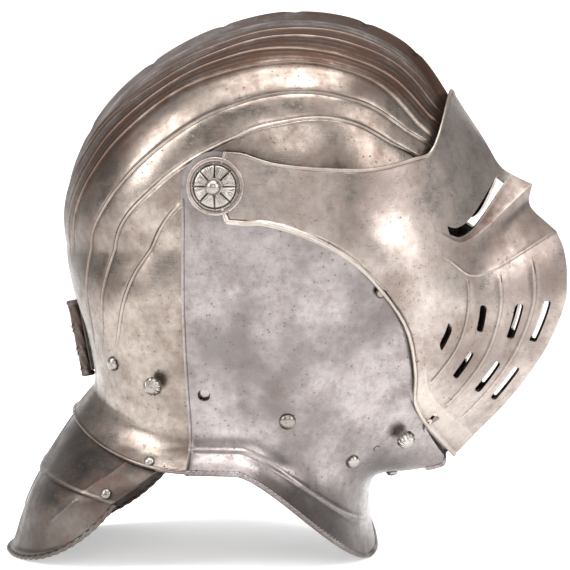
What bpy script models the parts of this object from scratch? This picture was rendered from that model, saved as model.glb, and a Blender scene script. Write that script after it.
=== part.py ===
"""Close helmet of steel plate: skull, bevor and visor on one pair of pivots, with two nape lames.

Metres, +Z up, +X the way the wearer faces, +Y the wearer's left. The helmet stands on the front
tip of its neck flange and on the edge of its last nape lame. Each plate is a sheet laid out in
rows, mirrored over the middle plane and given its thickness inwards.
"""
import math

import bmesh
import bpy
from mathutils import Matrix, Vector

# Frame and main sizes
PIVOT_X = -0.0228
PIVOT_Z = 0.2229
SKULL_HALF_WIDTH = 0.1000
FACE_REACH = 0.2030
CROWN_REACH = 0.1100
FLAT_RADIUS = 0.0200

# Plates and the room between them
SKULL_PLATE = 0.0018
BEVOR_PLATE = 0.0018
VISOR_PLATE = 0.0020
LAME_PLATE = 0.0014
PLATE_GAP = 0.0007
LAME_GAP = 0.0008
FIT = 0.0003

BEVOR_HALF_WIDTH = SKULL_HALF_WIDTH + PLATE_GAP + BEVOR_PLATE
VISOR_HALF_WIDTH = BEVOR_HALF_WIDTH + PLATE_GAP + VISOR_PLATE
BEVOR_INSET = VISOR_PLATE + 0.0016
FACE_EASE = 0.0004
FLARE_EASE = 0.9

# Pivots
BOLT_RADIUS = 0.0032
BALL_RADIUS = 0.0046
ROSETTE_RADIUS = 0.0130
ROSETTE_RISE = 0.0024
ROSETTE_RIM = 0.0008
PETALS = 8
PETAL_GROOVE = 0.0011
VISOR_BOSS_RADIUS = 0.0165
BEVOR_BOSS_RADIUS = 0.0195
BOSS_PROUD = 0.0001

# Seam and skull edges, from the pivots
SEAM_BACK = 0.0200
SKULL_FRONT_TOP = 0.0240
SKULL_FRONT_LOW = 0.0048
BROW_SAG = 0.0120
COMB_HEIGHT = 0.0045
COMB_HALF = 0.0055

# Neck: height of the flange's edge at the sides
FLANGE_SIDE_Z = 0.0590

FLOOR_DEPTH = 0.0200

# Sight and breaths of the visor
SLOT_WIDTH = 0.0033

# Catches, rivets and plume holder
KNOB_RADIUS = 0.0056
KNOB_SHANK = 0.0022
KNOB_STANDOFF = 0.0032
STUD_RADIUS = 0.0032
LEAF_WIDTH = 0.0080
LEAF_THICK = 0.0012
CATCH_CLEAR = 0.0008
LAME_RIVET = 0.0031
LAME_SHANK = 0.0016
LAME_RIVET_LIFT = 0.0009
CHEEK_RIVET = 0.0048
LEAF_RIVET = 0.0042
CHIN_RIVET = 0.0035
RIVET_SHANK = 0.0020
PLUME_TUBE_TOP = 0.0050
PLUME_TUBE_LOW = 0.0043
PLUME_BORE = 0.0033
PLUME_LENGTH = 0.0460
PLUME_BACKING = (0.0130, 0.0012, 0.0400)
PLUME_STANDOFF = 0.0008

# The head seen from the side, in polar form about the pivots: angle above the level, reach as a
# share of FACE_REACH or CROWN_REACH, and the two exponents of the section (1 is a keel, 2 is round)
FACE = (
    {"angle": -60, "reach": 1.015, "full": 2.40, "round": 1.00},
    {"angle": -53, "reach": 1.005, "full": 2.40, "round": 1.00},
    {"angle": -42, "reach": 0.995, "full": 2.40, "round": 1.00},
    {"angle": -35, "reach": 0.983, "full": 2.40, "round": 1.00},
    {"angle": -28, "reach": 0.946, "full": 2.40, "round": 1.00},
    {"angle": -21, "reach": 0.889, "full": 2.40, "round": 1.00},
    {"angle": -14, "reach": 0.818, "full": 2.40, "round": 1.05},
    {"angle": -7, "reach": 0.768, "full": 2.35, "round": 1.15},
    {"angle": 0, "reach": 0.734, "full": 2.30, "round": 1.30},
    {"angle": 9, "reach": 0.700, "full": 2.25, "round": 1.55},
    {"angle": 24, "reach": 0.646, "full": 2.20, "round": 1.90},
)
CROWN = (
    {"angle": 8, "reach": 1.215, "full": 2.25, "round": 1.60},
    {"angle": 24, "reach": 1.166, "full": 2.20, "round": 1.90},
    {"angle": 37, "reach": 1.132, "full": 2.10, "round": 2.00},
    {"angle": 52, "reach": 1.048, "full": 2.10, "round": 2.00},
    {"angle": 74, "reach": 0.922, "full": 2.10, "round": 2.00},
    {"angle": 99, "reach": 0.820, "full": 2.10, "round": 2.00},
    {"angle": 130, "reach": 0.800, "full": 2.10, "round": 2.00},
    {"angle": 164, "reach": 0.895, "full": 2.10, "round": 2.00},
    {"angle": 188, "reach": 1.000, "full": 2.10, "round": 2.00},
    {"angle": 200, "reach": 1.032, "full": 2.10, "round": 2.00},
)

# Edges of the visor: share of the way from pivot to middle line, and angle of each edge
VISOR_EDGES = (
    {"out": 0.00, "top": 77.0, "low": -76.0},
    {"out": 0.05, "top": 44.0, "low": -45.0},
    {"out": 0.12, "top": 25.0, "low": -33.5},
    {"out": 0.22, "top": 15.0, "low": -29.2},
    {"out": 0.36, "top": 9.4, "low": -29.2},
    {"out": 0.51, "top": 6.9, "low": -34.0},
    {"out": 0.62, "top": 7.2, "low": -38.8},
    {"out": 0.72, "top": 8.2, "low": -45.6},
    {"out": 0.795, "top": 9.3, "low": -50.9},
    {"out": 1.00, "top": 23.4, "low": -53.1},
)

# Lines across the front of the visor: angle and reach on the middle line, angle where the line
# runs out into the cheek, and how sharply it is keeled in the middle
VISOR_LINES = (
    {"name": "lower_edge", "angle": -53.1, "reach": 1.007, "side": -50.9, "keel": 1.0},
    {"name": "band", "angle": -48.2, "reach": 0.997, "side": -46.4, "keel": 1.0},
    {"name": "low_slots_foot", "angle": -41.0, "reach": 0.997, "side": -41.0, "keel": 1.0},
    {"name": "low_slots_head", "angle": -33.8, "reach": 0.998, "side": -35.2, "keel": 1.0},
    {"name": "high_slots_foot", "angle": -28.4, "reach": 0.999, "side": -31.2, "keel": 1.0},
    {"name": "high_slots_head", "angle": -20.4, "reach": 0.991, "side": -26.4, "keel": 1.0},
    {"name": "muzzle", "angle": -15.6, "reach": 0.967, "side": -24.0, "keel": 1.0},
    {"name": "under_ledge_two", "angle": -12.0, "reach": 0.941, "side": -22.4, "keel": 1.0},
    {"name": "ledge_two", "angle": -9.4, "reach": 0.912, "side": -21.0, "keel": 1.0},
    {"name": "fold_two", "angle": -5.4, "reach": 0.829, "side": -17.6, "keel": 1.0},
    {"name": "ledge_one", "angle": -1.0, "reach": 0.829, "side": -14.4, "keel": 1.0},
    {"name": "sight_foot", "angle": 1.2, "reach": 0.768, "side": -13.2, "keel": 1.0},
    {"name": "sight_head", "angle": 3.4, "reach": 0.734, "side": -9.6, "keel": 0.8},
    {"name": "brow", "angle": 9.0, "reach": 0.702, "side": -3.6, "keel": 0.4},
    {"name": "forehead", "angle": 16.4, "reach": 0.668, "side": 3.4, "keel": 0.15},
    {"name": "top_edge", "angle": 23.4, "reach": 0.647, "side": 9.3, "keel": 0.0},
)
FADE_OUT = 0.795
KEEL_BULGE = 1.12
SIGHT_END = 0.976
SLOTS = (
    {"out": 0.735, "high": False},
    {"out": 0.825, "high": True},
    {"out": 0.905, "high": True},
    {"out": 0.960, "high": True},
)

# The bevor's upper edge, hidden under the visor: side view from the pivots, as shares of
# FACE_REACH, and the line under the visor's border
BEVOR_TOP = (
    {"x": -0.096, "z": -0.005}, {"x": 0.100, "z": -0.040}, {"x": 0.276, "z": -0.050},
    {"x": 0.460, "z": -0.155}, {"x": 0.535, "z": -0.310}, {"x": 0.585, "z": -0.535},
)
BEVOR_TOP_END = -48.0
BEVOR_BORDER = (
    {"x": -0.096, "z": -0.100}, {"x": 0.135, "z": -0.104}, {"x": 0.325, "z": -0.178},
    {"x": 0.458, "z": -0.312}, {"x": 0.515, "z": -0.525}, {"x": 0.525, "z": -0.664},
)
BEVOR_BORDER_END = -53.4
SKULL_EDGE_ROOM = 0.0045

# Half width of the sides at the seam: height and share of SKULL_HALF_WIDTH
SIDE = (
    {"z": 0.0590, "half": 0.880}, {"z": 0.0660, "half": 0.815}, {"z": 0.0730, "half": 0.778},
    {"z": 0.0800, "half": 0.768}, {"z": 0.0880, "half": 0.782}, {"z": 0.1050, "half": 0.848},
    {"z": 0.1300, "half": 0.925}, {"z": 0.1600, "half": 0.978}, {"z": 0.1900, "half": 0.999},
    {"z": 0.2229, "half": 1.000},
)

# Rows of the bevor from its border down to the flange: height at the side, middle point (x from the
# pivots as a share of FACE_REACH), the two exponents of its plan and how late the row drops
BEVOR_ROWS = (
    {"side": 0.160, "x": 0.5754, "z": 0.0548, "full": 2.40, "round": 1.10, "drop": 2.40},
    {"side": 0.130, "x": 0.4793, "z": 0.0503, "full": 2.30, "round": 1.40, "drop": 2.20},
    {"side": 0.105, "x": 0.4079, "z": 0.0490, "full": 2.20, "round": 1.80, "drop": 2.00},
    {"side": 0.088, "x": 0.3709, "z": 0.0450, "full": 2.20, "round": 2.00, "drop": 1.80},
    {"side": 0.080, "x": 0.3586, "z": 0.0360, "full": 2.25, "round": 2.00, "drop": 1.60},
    {"side": 0.073, "x": 0.3576, "z": 0.0260, "full": 2.35, "round": 2.00, "drop": 1.40},
    {"side": 0.066, "x": 0.3635, "z": 0.0130, "full": 2.50, "round": 2.00, "drop": 1.40},
    {"side": 0.059, "x": 0.3744, "z": -0.0004, "full": 2.60, "round": 2.00, "drop": 1.45},
)

# Rows of the skull from the nape down to its flange, in the same way, with CROWN_REACH
SKULL_ROWS = (
    {"side": 0.160, "x": -0.9336, "z": 0.1600, "full": 2.10, "round": 2.00, "drop": 2.00},
    {"side": 0.130, "x": -0.8545, "z": 0.1330, "full": 2.10, "round": 2.00, "drop": 2.00},
    {"side": 0.105, "x": -0.8182, "z": 0.1100, "full": 2.05, "round": 2.00, "drop": 2.00},
    {"side": 0.088, "x": -0.8255, "z": 0.1010, "full": 2.00, "round": 2.00, "drop": 2.00},
    {"side": 0.080, "x": -0.8455, "z": 0.0980, "full": 1.98, "round": 2.00, "drop": 2.00},
    {"side": 0.073, "x": -0.8727, "z": 0.0945, "full": 1.95, "round": 2.00, "drop": 2.00},
    {"side": 0.066, "x": -0.9045, "z": 0.0903, "full": 1.92, "round": 2.00, "drop": 2.00},
    {"side": 0.059, "x": -0.9400, "z": 0.0855, "full": 1.90, "round": 2.00, "drop": 2.00},
)

# The two nape lames: the shares at which each is tucked under and leaves the plate over it, where
# its side begins there, and its free edge: side point, middle point, plan exponents and drop. Each
# x is a share of CROWN_REACH from the pivots, and each y a share of SKULL_HALF_WIDTH
LAME_EDGES = {
    "nape_lame_upper": {"tuck": 0.88, "leave": 0.985, "from": 0.36, "to": 0.40,
                        "side_x": -0.5836, "side_y": 0.8700, "side_z": 0.0395,
                        "x": -1.1218, "z": 0.0516, "full": 2.00, "round": 2.00, "drop": 1.50},
    "nape_lame_lower": {"tuck": 0.625, "leave": 0.97, "from": 0.00, "to": 0.00,
                        "side_x": -0.5655, "side_y": 0.8450, "side_z": 0.0380,
                        "x": -1.3045, "z": 0.0002, "full": 2.10, "round": 2.00, "drop": 2.60},
}

# Places of rivets and catches on the wearer's right, in the side view, as shares of FACE_REACH or
# of CROWN_REACH from the pivots. The lames' pins stand at a share of CROWN_REACH and a height
UPPER_PIN_X, UPPER_PIN_Z = PIVOT_X - 0.3882 * CROWN_REACH, FLANGE_SIDE_Z + 0.0050
LOWER_PIN_X, LOWER_PIN_Z = PIVOT_X - 0.6109 * CROWN_REACH, FLANGE_SIDE_Z - 0.0135
CHEEK_PLACE = (0.1808, -0.6621)
CHIN_PLACE = (0.4276, -0.8567)
SKULL_CATCH = ((-0.6027, -0.9500), (-0.3409, -1.0282), (-0.0909, -1.0791))
BEVOR_CATCH = ((0.3419, -0.7951), (0.4744, -0.7227), (0.5532, -0.6655))
LEAF_STEPS = 6
LEAF_SAG = 0.0014
CATCH_HOLE = 0.0038
PLUME_PLACES = ((-0.9155, -0.6809), (-0.8155, -1.0627))

STEEL = (0.44, 0.42, 0.41)
DARK_STEEL = (0.27, 0.24, 0.22)
BRIGHT_STEEL = (0.55, 0.53, 0.51)


def clear_scene():
    for thing in list(bpy.data.objects):
        bpy.data.objects.remove(thing, do_unlink=True)


clear_scene()
helmet = bpy.data.collections.new("close_helmet")
cutters = bpy.data.collections.new("cutters")
bpy.context.scene.collection.children.link(helmet)
bpy.context.scene.collection.children.link(cutters)


def steel(name, colour, roughness):
    material = bpy.data.materials.new(name)
    material.use_nodes = True
    shader = material.node_tree.nodes["Principled BSDF"]
    shader.inputs["Base Color"].default_value = (*colour, 1.0)
    shader.inputs["Metallic"].default_value = 1.0
    shader.inputs["Roughness"].default_value = roughness
    return material


def smooth(table, column, at, key):
    """Value of a column at a place between the rows of a table, on a smooth curve."""
    places = [row[key] for row in table]
    values = [row[column] for row in table]
    if at <= places[0]:
        return values[0]
    if at >= places[-1]:
        return values[-1]
    low = max(k for k in range(len(places) - 1) if places[k] <= at)

    def slope(k):
        before, after = max(k - 1, 0), min(k + 1, len(places) - 1)
        return (values[after] - values[before]) / (places[after] - places[before])

    step = places[low + 1] - places[low]
    t = (at - places[low]) / step
    return ((1 + 2 * t) * (1 - t) ** 2 * values[low] + t * (1 - t) ** 2 * step * slope(low)
            + t * t * (3 - 2 * t) * values[low + 1] + t * t * (t - 1) * step * slope(low + 1))


def spline(points, t):
    """Point at t between 0 and 1 on a smooth curve through evenly counted points."""
    last = len(points) - 1
    place = min(max(t, 0.0), 1.0) * last
    k = min(int(place), last - 1)
    u = place - k
    p1, p2 = points[k], points[k + 1]
    p0 = points[k - 1] if k > 0 else 2 * p1 - p2
    p3 = points[k + 2] if k + 2 <= last else 2 * p2 - p1
    return 0.5 * (2 * p1 + (p2 - p0) * u + (2 * p0 - 5 * p1 + 4 * p2 - p3) * u * u
                  + (3 * p1 - p0 - 3 * p2 + p3) * u ** 3)


def from_pivots(reach, place):
    """Side view point given as shares of a reach from the pivots."""
    return PIVOT_X + place[0] * reach, PIVOT_Z + place[1] * reach


def polar(angle, radius):
    turn = math.radians(angle)
    return PIVOT_X + radius * math.cos(turn), PIVOT_Z + radius * math.sin(turn)


def section(table, reach, angle, out, half, inset=0.0):
    """Point of a head surface: out is the share of the way from the pivot disc to the middle."""
    edge = reach * smooth(table, "reach", angle, "angle") - inset
    full = smooth(table, "full", angle, "angle")
    rounding = smooth(table, "round", angle, "angle")
    x, z = polar(angle, FLAT_RADIUS + (edge - FLAT_RADIUS) * out)
    return Vector((x, -half * max(0.0, 1 - out ** full) ** (1 / rounding), z))


def depth(table, reach, x, z, half, inset=0.0):
    """Half width of a head surface at a place in the side view."""
    angle = math.degrees(math.atan2(z - PIVOT_Z, x - PIVOT_X))
    if table is CROWN and angle < 0:
        angle += 360 if angle < -90 else 0
    edge = reach * smooth(table, "reach", angle, "angle") - inset
    out = max(0.0, (math.hypot(x - PIVOT_X, z - PIVOT_Z) - FLAT_RADIUS) / (edge - FLAT_RADIUS))
    full = smooth(table, "full", angle, "angle")
    return half * max(0.0, 1 - out ** full) ** (1 / smooth(table, "round", angle, "angle"))


def side_half(z, over):
    """Half width at the seam of a surface that lies a distance over the skull's."""
    step = 0.001
    half = smooth(SIDE, "half", z, "z")
    slope = (smooth(SIDE, "half", z + step, "z") - half) * SKULL_HALF_WIDTH / step
    return SKULL_HALF_WIDTH * half + over * (1 + FLARE_EASE * slope * slope)


def put(mesh, name, material, collection=helmet):
    thing = bpy.data.objects.new(name, mesh)
    collection.objects.link(thing)
    if collection is cutters:
        thing.hide_render = True
        thing.display_type = "WIRE"
    else:
        mesh.materials.append(material)
    return thing


def sheet_mesh(name, rows, holes=(), inside=Vector((PIVOT_X, 0.0, PIVOT_Z))):
    """Open half plate: a grid moved onto rows of points, less the cells named in holes."""
    form = bmesh.new()
    columns = len(rows[0])
    bmesh.ops.create_grid(form, x_segments=columns - 1, y_segments=len(rows) - 1, size=1.0)
    form.verts.ensure_lookup_table()
    for j, row in enumerate(rows):
        for i, point in enumerate(row):
            form.verts[j * columns + i].co = point
    form.faces.ensure_lookup_table()
    cut = [form.faces[j * (columns - 1) + i] for j, i in holes]
    bmesh.ops.delete(form, geom=cut, context="FACES")
    form.normal_update()
    facing = sum((face.calc_center_median() - inside).dot(face.normal) * face.calc_area()
                 for face in form.faces)
    if facing < 0:
        bmesh.ops.reverse_faces(form, faces=form.faces)
    mesh = bpy.data.meshes.new(name)
    form.to_mesh(mesh)
    form.free()
    return mesh


def hang(thing, x, y, z):
    """Move the origin of a piece onto the axis that it turns about."""
    at = Vector((x, y, z))
    thing.data.transform(Matrix.Translation(-at))
    thing.location = at


def plate(name, rows, thick, material, holes=(), inside=Vector((PIVOT_X, 0.0, PIVOT_Z))):
    mesh = sheet_mesh(name, rows, holes, inside)
    mesh.shade_smooth()
    thing = put(mesh, name, material)
    mirror = thing.modifiers.new("both_sides", "MIRROR")
    mirror.use_axis = (False, True, False)
    mirror.merge_threshold = 0.0001
    wall = thing.modifiers.new("thickness", "SOLIDIFY")
    wall.thickness = thick
    wall.offset = -1.0
    wall.use_even_offset = True
    wall.use_quality_normals = True
    return thing


def change(thing, operand, operation="DIFFERENCE"):
    boolean = thing.modifiers.new(operation.lower() + "_" + operand.name, "BOOLEAN")
    boolean.operation = operation
    boolean.object = operand
    boolean.solver = "EXACT"


def aim(thing, at, outward):
    """Place a turned piece, whose own +Z points out of the helmet."""
    thing.matrix_world = (Matrix.Translation(at)
                          @ outward.to_track_quat("Z", "Y").to_matrix().to_4x4())


def turned(name, profile, steps, material, collection=helmet):
    """Solid turned about its own Z from a profile of (radius, height), listed top to bottom."""
    form = bmesh.new()
    verts = [form.verts.new((radius, 0.0, height)) for radius, height in profile]
    for first, second in zip(verts, verts[1:]):
        form.edges.new((first, second))
    mesh = bpy.data.meshes.new(name)
    form.to_mesh(mesh)
    form.free()
    thing = put(mesh, name, material, collection)
    screw = thing.modifiers.new("turn", "SCREW")
    screw.steps = screw.render_steps = steps
    screw.use_merge_vertices = True
    screw.merge_threshold = 0.00002
    screw.use_smooth_shade = True
    return thing


def dome(radius, rise, foot, count):
    """Profile points of a domed head from its crown down to the height foot."""
    points = []
    for k in range(count + 1):
        turn = math.pi / 2 * k / count
        points.append((radius * math.sin(turn), foot + rise * math.cos(turn)))
    return points


def rod(name, radius, length, at, outward, sides=12):
    """A plain cylinder centred at a point, used to bore a hole."""
    profile = [(0.0, length / 2), (radius, length / 2), (radius, -length / 2), (0.0, -length / 2)]
    thing = turned(name, profile, sides, None, cutters)
    aim(thing, at, outward)
    return thing


def outward_at(point_of, u, v, step=0.002):
    """Outward normal of a plate whose rows run from its side to the middle, top row first."""
    along = point_of(min(u + step, 1.0), v) - point_of(max(u - step, 0.0), v)
    across = point_of(u, min(v + step, 1.0)) - point_of(u, max(v - step, 0.0))
    normal = along.cross(across).normalized()
    return -normal if point_of(1.0, v).x > point_of(0.0, v).x else normal


def row_point(row, reach, start_x, flat_x, u, over):
    """Point of a neck row: flat at the side as far as flat_x, then round to the middle."""
    end_x = PIVOT_X + row["x"] * reach
    x = start_x + (end_x - start_x) * u
    share = min(max((x - flat_x) / (end_x - flat_x), 0.0), 1.0)
    half = side_half(row["side"], over)
    y = half * max(0.0, 1 - share ** row["full"]) ** (1 / row["round"])
    return Vector((x, -y, row["side"] + (row["z"] - row["side"]) * share ** row["drop"]))


# Skull
SEAM_X = PIVOT_X - SEAM_BACK
SKULL_NAPE_ANGLE = 200
SKULL_BROW_ANGLE = 13
SKULL_CROWN_LOW = 0.190
SKULL_FRONT_Z = PIVOT_Z - 0.012


def skull_front_x(z):
    share = (SKULL_FRONT_Z - z) / (SKULL_FRONT_Z - FLANGE_SIDE_Z)
    return PIVOT_X + SKULL_FRONT_TOP + (SKULL_FRONT_LOW - SKULL_FRONT_TOP) * share


def comb_share(angle):
    rise = min(max((angle - SKULL_BROW_ANGLE) / 8, 0.0), 1.0)
    fall = min(max((SKULL_NAPE_ANGLE + 6 - angle) / 40, 0.0), 1.0)
    return rise * fall * fall * (3 - 2 * fall)


def crown_point(u, v):
    """Upper skull: v runs from the brow over the comb to the nape, u from side to comb."""
    angle = SKULL_BROW_ANGLE + (SKULL_NAPE_ANGLE - SKULL_BROW_ANGLE) * v
    start_z = SKULL_FRONT_Z + (SKULL_CROWN_LOW - SKULL_FRONT_Z) * v
    start_x = skull_front_x(start_z)
    comb = COMB_HEIGHT * comb_share(angle)
    end_x, end_z = polar(angle, CROWN_REACH * smooth(CROWN, "reach", angle, "angle") - comb)
    x = start_x + (end_x - start_x) * u
    z = start_z + (end_z - start_z) * u - BROW_SAG * 4 * u * (1 - u) * (1 - v) ** 3
    half = depth(CROWN, CROWN_REACH, x, z, SKULL_HALF_WIDTH, comb) if u < 1 else 0.0
    out = Vector((x - PIVOT_X, 0.0, z - PIVOT_Z)).normalized()
    lift = comb * max(0.0, 1 - (half / COMB_HALF) ** 2) ** 1.5
    return Vector((x, -half, z)) + out * lift


def neck_point(u, v):
    """Lower skull: v runs from the nape down to the edge of the flange."""
    above = [crown_point(u, 0.90), crown_point(u, 1.0)]
    below = [row_point(row, CROWN_REACH, skull_front_x(row["side"]), SEAM_X, u, 0.0)
             for row in SKULL_ROWS]
    points = above + below
    return spline(points, (1 + v * len(below)) / (len(points) - 1))


CROWN_ROWS = 15
NECK_ROWS = len(SKULL_ROWS)
SKULL_COLUMNS = [math.sin(math.radians(a)) for a in (0, 13, 26, 39, 51, 62, 71, 79, 85.6, 87.8,
                                                      90)]


def skull_rows():
    rows = [[crown_point(u, j / CROWN_ROWS) for u in SKULL_COLUMNS] for j in range(CROWN_ROWS)]
    rows += [[neck_point(u, j / NECK_ROWS) for u in SKULL_COLUMNS] for j in range(NECK_ROWS + 1)]
    return rows


skull = plate("skull", skull_rows(), SKULL_PLATE, steel("skull_steel", STEEL, 0.34))


# Visor
def visor_edge(column, out):
    return smooth(VISOR_EDGES, column, out, "out")


def visor_cheek(line, out):
    """Visor surface between the pivot and the place where its ledges run out."""
    span = visor_edge("top", FADE_OUT) - visor_edge("low", FADE_OUT)
    share = (line["side"] - visor_edge("low", FADE_OUT)) / span
    low, top = visor_edge("low", out), visor_edge("top", out)
    return section(FACE, FACE_REACH, low + share * (top - low), out, VISOR_HALF_WIDTH)


def visor_point(line, out):
    if out <= FADE_OUT:
        return visor_cheek(line, out)
    step = 0.004
    side = visor_cheek(line, FADE_OUT)
    side_way = (visor_cheek(line, FADE_OUT - step) - side) / step * (1 - FADE_OUT)
    x, z = polar(line["angle"], FACE_REACH * line["reach"])
    middle = Vector((x, 0.0, z))
    chord = side - middle
    keeled = Vector((chord.x, chord.y * KEEL_BULGE, chord.z))
    middle_way = keeled * line["keel"] + Vector((0.0, -chord.length, 0.0)) * (1 - line["keel"])
    t = (1 - out) / (1 - FADE_OUT)
    return ((1 + 2 * t) * (1 - t) ** 2 * middle + t * (1 - t) ** 2 * middle_way
            + t * t * (3 - 2 * t) * side + t * t * (t - 1) * side_way)


def visor_rows(columns):
    start = FLAT_RADIUS * 0.45
    rows = []
    for line in VISOR_LINES:
        first = visor_cheek(line, 0.0)
        share = start / FLAT_RADIUS
        inner = Vector((PIVOT_X + (first.x - PIVOT_X) * share, first.y,
                        PIVOT_Z + (first.z - PIVOT_Z) * share))
        rows.append([inner] + [visor_point(line, out) for out in columns])
    return rows


def visor_holes(columns):
    """Grid cells of the sights and of the breaths."""
    names = [line["name"] for line in VISOR_LINES]
    holes = []
    for i in range(len(columns) - 1):
        middle = (columns[i] + columns[i + 1]) / 2
        if FADE_OUT < middle < SIGHT_END:
            holes.append((names.index("sight_foot"), i + 1))
        for slot in SLOTS:
            if abs(middle - slot["out"]) < slot_half:
                holes.append((names.index("low_slots_foot"), i + 1))
                if slot["high"]:
                    holes.append((names.index("high_slots_foot"), i + 1))
    return holes


slot_half = SLOT_WIDTH / 2 / (FACE_REACH - FLAT_RADIUS)
visor_columns = sorted([0.0, 0.08, 0.20, 0.34, 0.49, 0.63, FADE_OUT, 0.865, 0.932, SIGHT_END,
                        1.0]
                       + [slot["out"] + end * slot_half for slot in SLOTS for end in (-1, 1)])
visor = plate("visor", visor_rows(visor_columns), VISOR_PLATE,
              steel("visor_steel", STEEL, 0.32), visor_holes(visor_columns))


# Bevor
def bevor_path(table, end_angle, u):
    """Side view of one of the bevor's upper rows, ending on the middle line."""
    x, z = polar(end_angle, FACE_REACH * smooth(FACE, "reach", end_angle, "angle") - BEVOR_INSET)
    points = [Vector((PIVOT_X + row["x"] * FACE_REACH, 0.0, PIVOT_Z + row["z"] * FACE_REACH))
              for row in table] + [Vector((x, 0.0, z))]
    return spline(points, u)


def bevor_face_point(u, v):
    """Upper bevor, hidden by the visor: v runs from its top edge to the visor's border."""
    top = bevor_path(BEVOR_TOP, BEVOR_TOP_END, u)
    place = top + (bevor_path(BEVOR_BORDER, BEVOR_BORDER_END, u) - top) * v
    half = depth(FACE, FACE_REACH, place.x, place.z, BEVOR_HALF_WIDTH, BEVOR_INSET)
    away = math.hypot(place.x - PIVOT_X, place.z - PIVOT_Z) / FLAT_RADIUS - 1
    ease = FACE_EASE * min(max(away, 0.0), 1.0)
    return Vector((place.x, -max(half - ease, 0.0) if u < 1 else 0.0, place.z))


def bevor_neck_point(u, v):
    """Open bevor: v runs from the visor's border down over jaw and throat to the flange."""
    above = [bevor_face_point(u, 0.55), bevor_face_point(u, 1.0)]
    bow = 1 - (1 - u) ** 1.35
    below = [row_point(row, FACE_REACH, SEAM_X, skull_front_x(row["side"]) + SKULL_EDGE_ROOM, bow,
                       PLATE_GAP + BEVOR_PLATE) for row in BEVOR_ROWS]
    points = above + below
    return spline(points, (1 + v * len(below)) / (len(points) - 1))


BEVOR_FACE_ROWS = 3
BEVOR_NECK_ROWS = len(BEVOR_ROWS)
BEVOR_COLUMNS = [0, 0.08, 0.18, 0.29, 0.40, 0.51, 0.62, 0.72, 0.81, 0.88, 0.94, 0.98, 1]


def bevor_point(u, v):
    """Whole bevor: v runs from its top edge over the visor's border down to the flange."""
    border = BEVOR_FACE_ROWS / (BEVOR_FACE_ROWS + BEVOR_NECK_ROWS)
    if v < border:
        return bevor_face_point(u, v / border)
    return bevor_neck_point(u, (v - border) / (1 - border))


def bevor_rows():
    count = BEVOR_FACE_ROWS + BEVOR_NECK_ROWS
    return [[bevor_point(u, j / count) for u in BEVOR_COLUMNS] for j in range(count + 1)]


bevor = plate("bevor", bevor_rows(), BEVOR_PLATE, steel("bevor_steel", STEEL, 0.33))


# Nape lames
LAME_ROWS = 8
LAME_TUCK = 3 / LAME_ROWS
LAME_COLUMNS = [math.sin(math.radians(a)) for a in (0, 11, 23, 35, 47, 59, 70, 80, 90)]


def lame_point(edge, over, over_plate, u, v):
    """Row v of a lame: tucked under the plate that covers it, then out to a free edge."""
    def tucked(share):
        start = edge["from"] + (edge["to"] - edge["from"]) * share
        across = start + (1 - start) * u
        place = edge["tuck"] + (edge["leave"] - edge["tuck"]) * share
        inward = outward_at(over, across, place) * (over_plate + LAME_GAP)
        if u >= 1:
            inward.y = 0.0
        return over(across, place) - inward

    if v <= LAME_TUCK:
        return tucked(v / LAME_TUCK)
    leave = tucked(1.0)
    x = PIVOT_X + CROWN_REACH * (edge["side_x"] + (edge["x"] - edge["side_x"]) * u)
    y = SKULL_HALF_WIDTH * edge["side_y"] * max(0.0, 1 - u ** edge["full"]) ** (1 / edge["round"])
    fall = 1 - (1 - u) ** edge["drop"]
    end = Vector((x, -y, edge["side_z"] + (edge["z"] - edge["side_z"]) * fall))
    end_way = end - leave
    way = (leave - tucked(0.8)).normalized() * end_way.length
    t = (v - LAME_TUCK) / (1 - LAME_TUCK)
    return ((1 + 2 * t) * (1 - t) ** 2 * leave + t * (1 - t) ** 2 * way
            + t * t * (3 - 2 * t) * end + t * t * (t - 1) * end_way)


def upper_lame_point(u, v):
    return lame_point(LAME_EDGES["nape_lame_upper"], neck_point, SKULL_PLATE, u, v)


def lower_lame_point(u, v):
    return lame_point(LAME_EDGES["nape_lame_lower"], upper_lame_point, LAME_PLATE, u, v)


def lame_rows(point_of):
    return [[point_of(u, j / LAME_ROWS) for u in LAME_COLUMNS] for j in range(LAME_ROWS + 1)]


lame_steel = steel("lame_steel", DARK_STEEL, 0.38)
under = Vector((PIVOT_X, 0.0, -PIVOT_Z))
nape_lame_upper = plate("nape_lame_upper", lame_rows(upper_lame_point), LAME_PLATE, lame_steel,
                        (), under)
nape_lame_lower = plate("nape_lame_lower", lame_rows(lower_lame_point), LAME_PLATE, lame_steel,
                        (), under)


# Places on the plates, given in the side view
def seat(point_of, x, z):
    """Point of a plate at a place of the side view, with the way out of the helmet there."""
    best, centre, span = None, (0.5, 0.5), 0.5
    for _ in range(9):
        for i in range(-4, 5):
            for j in range(-4, 5):
                u = min(max(centre[0] + span * i / 4, 0.0), 1.0)
                v = min(max(centre[1] + span * j / 4, 0.0), 1.0)
                point = point_of(u, v)
                miss = math.hypot(point.x - x, point.z - z)
                if best is None or miss < best[0]:
                    best = (miss, u, v, point)
        centre, span = (best[1], best[2]), span * 0.45
    return best[3], outward_at(point_of, best[1], best[2])


def bore(thing, point, outward, radius, sides=12):
    change(thing, rod("bore_" + thing.name, radius, 0.014, point, outward, sides))


# Pivots: bored bosses on visor and bevor, bolts and rosettes
def boss(thing, half, wall, radius, side):
    """Flat ring about the pivot, bored for the bolt."""
    rise = wall / 2 + BOSS_PROUD
    inner = BOLT_RADIUS + FIT
    ring = [(inner, rise), (radius, rise), (radius, -rise), (inner, -rise), (inner, rise)]
    ring = turned("boss_" + thing.name, ring, 18, None, cutters)
    aim(ring, Vector((PIVOT_X, side * (half - wall / 2), PIVOT_Z)), Vector((0.0, side, 0.0)))
    change(thing, ring, "UNION")


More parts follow.
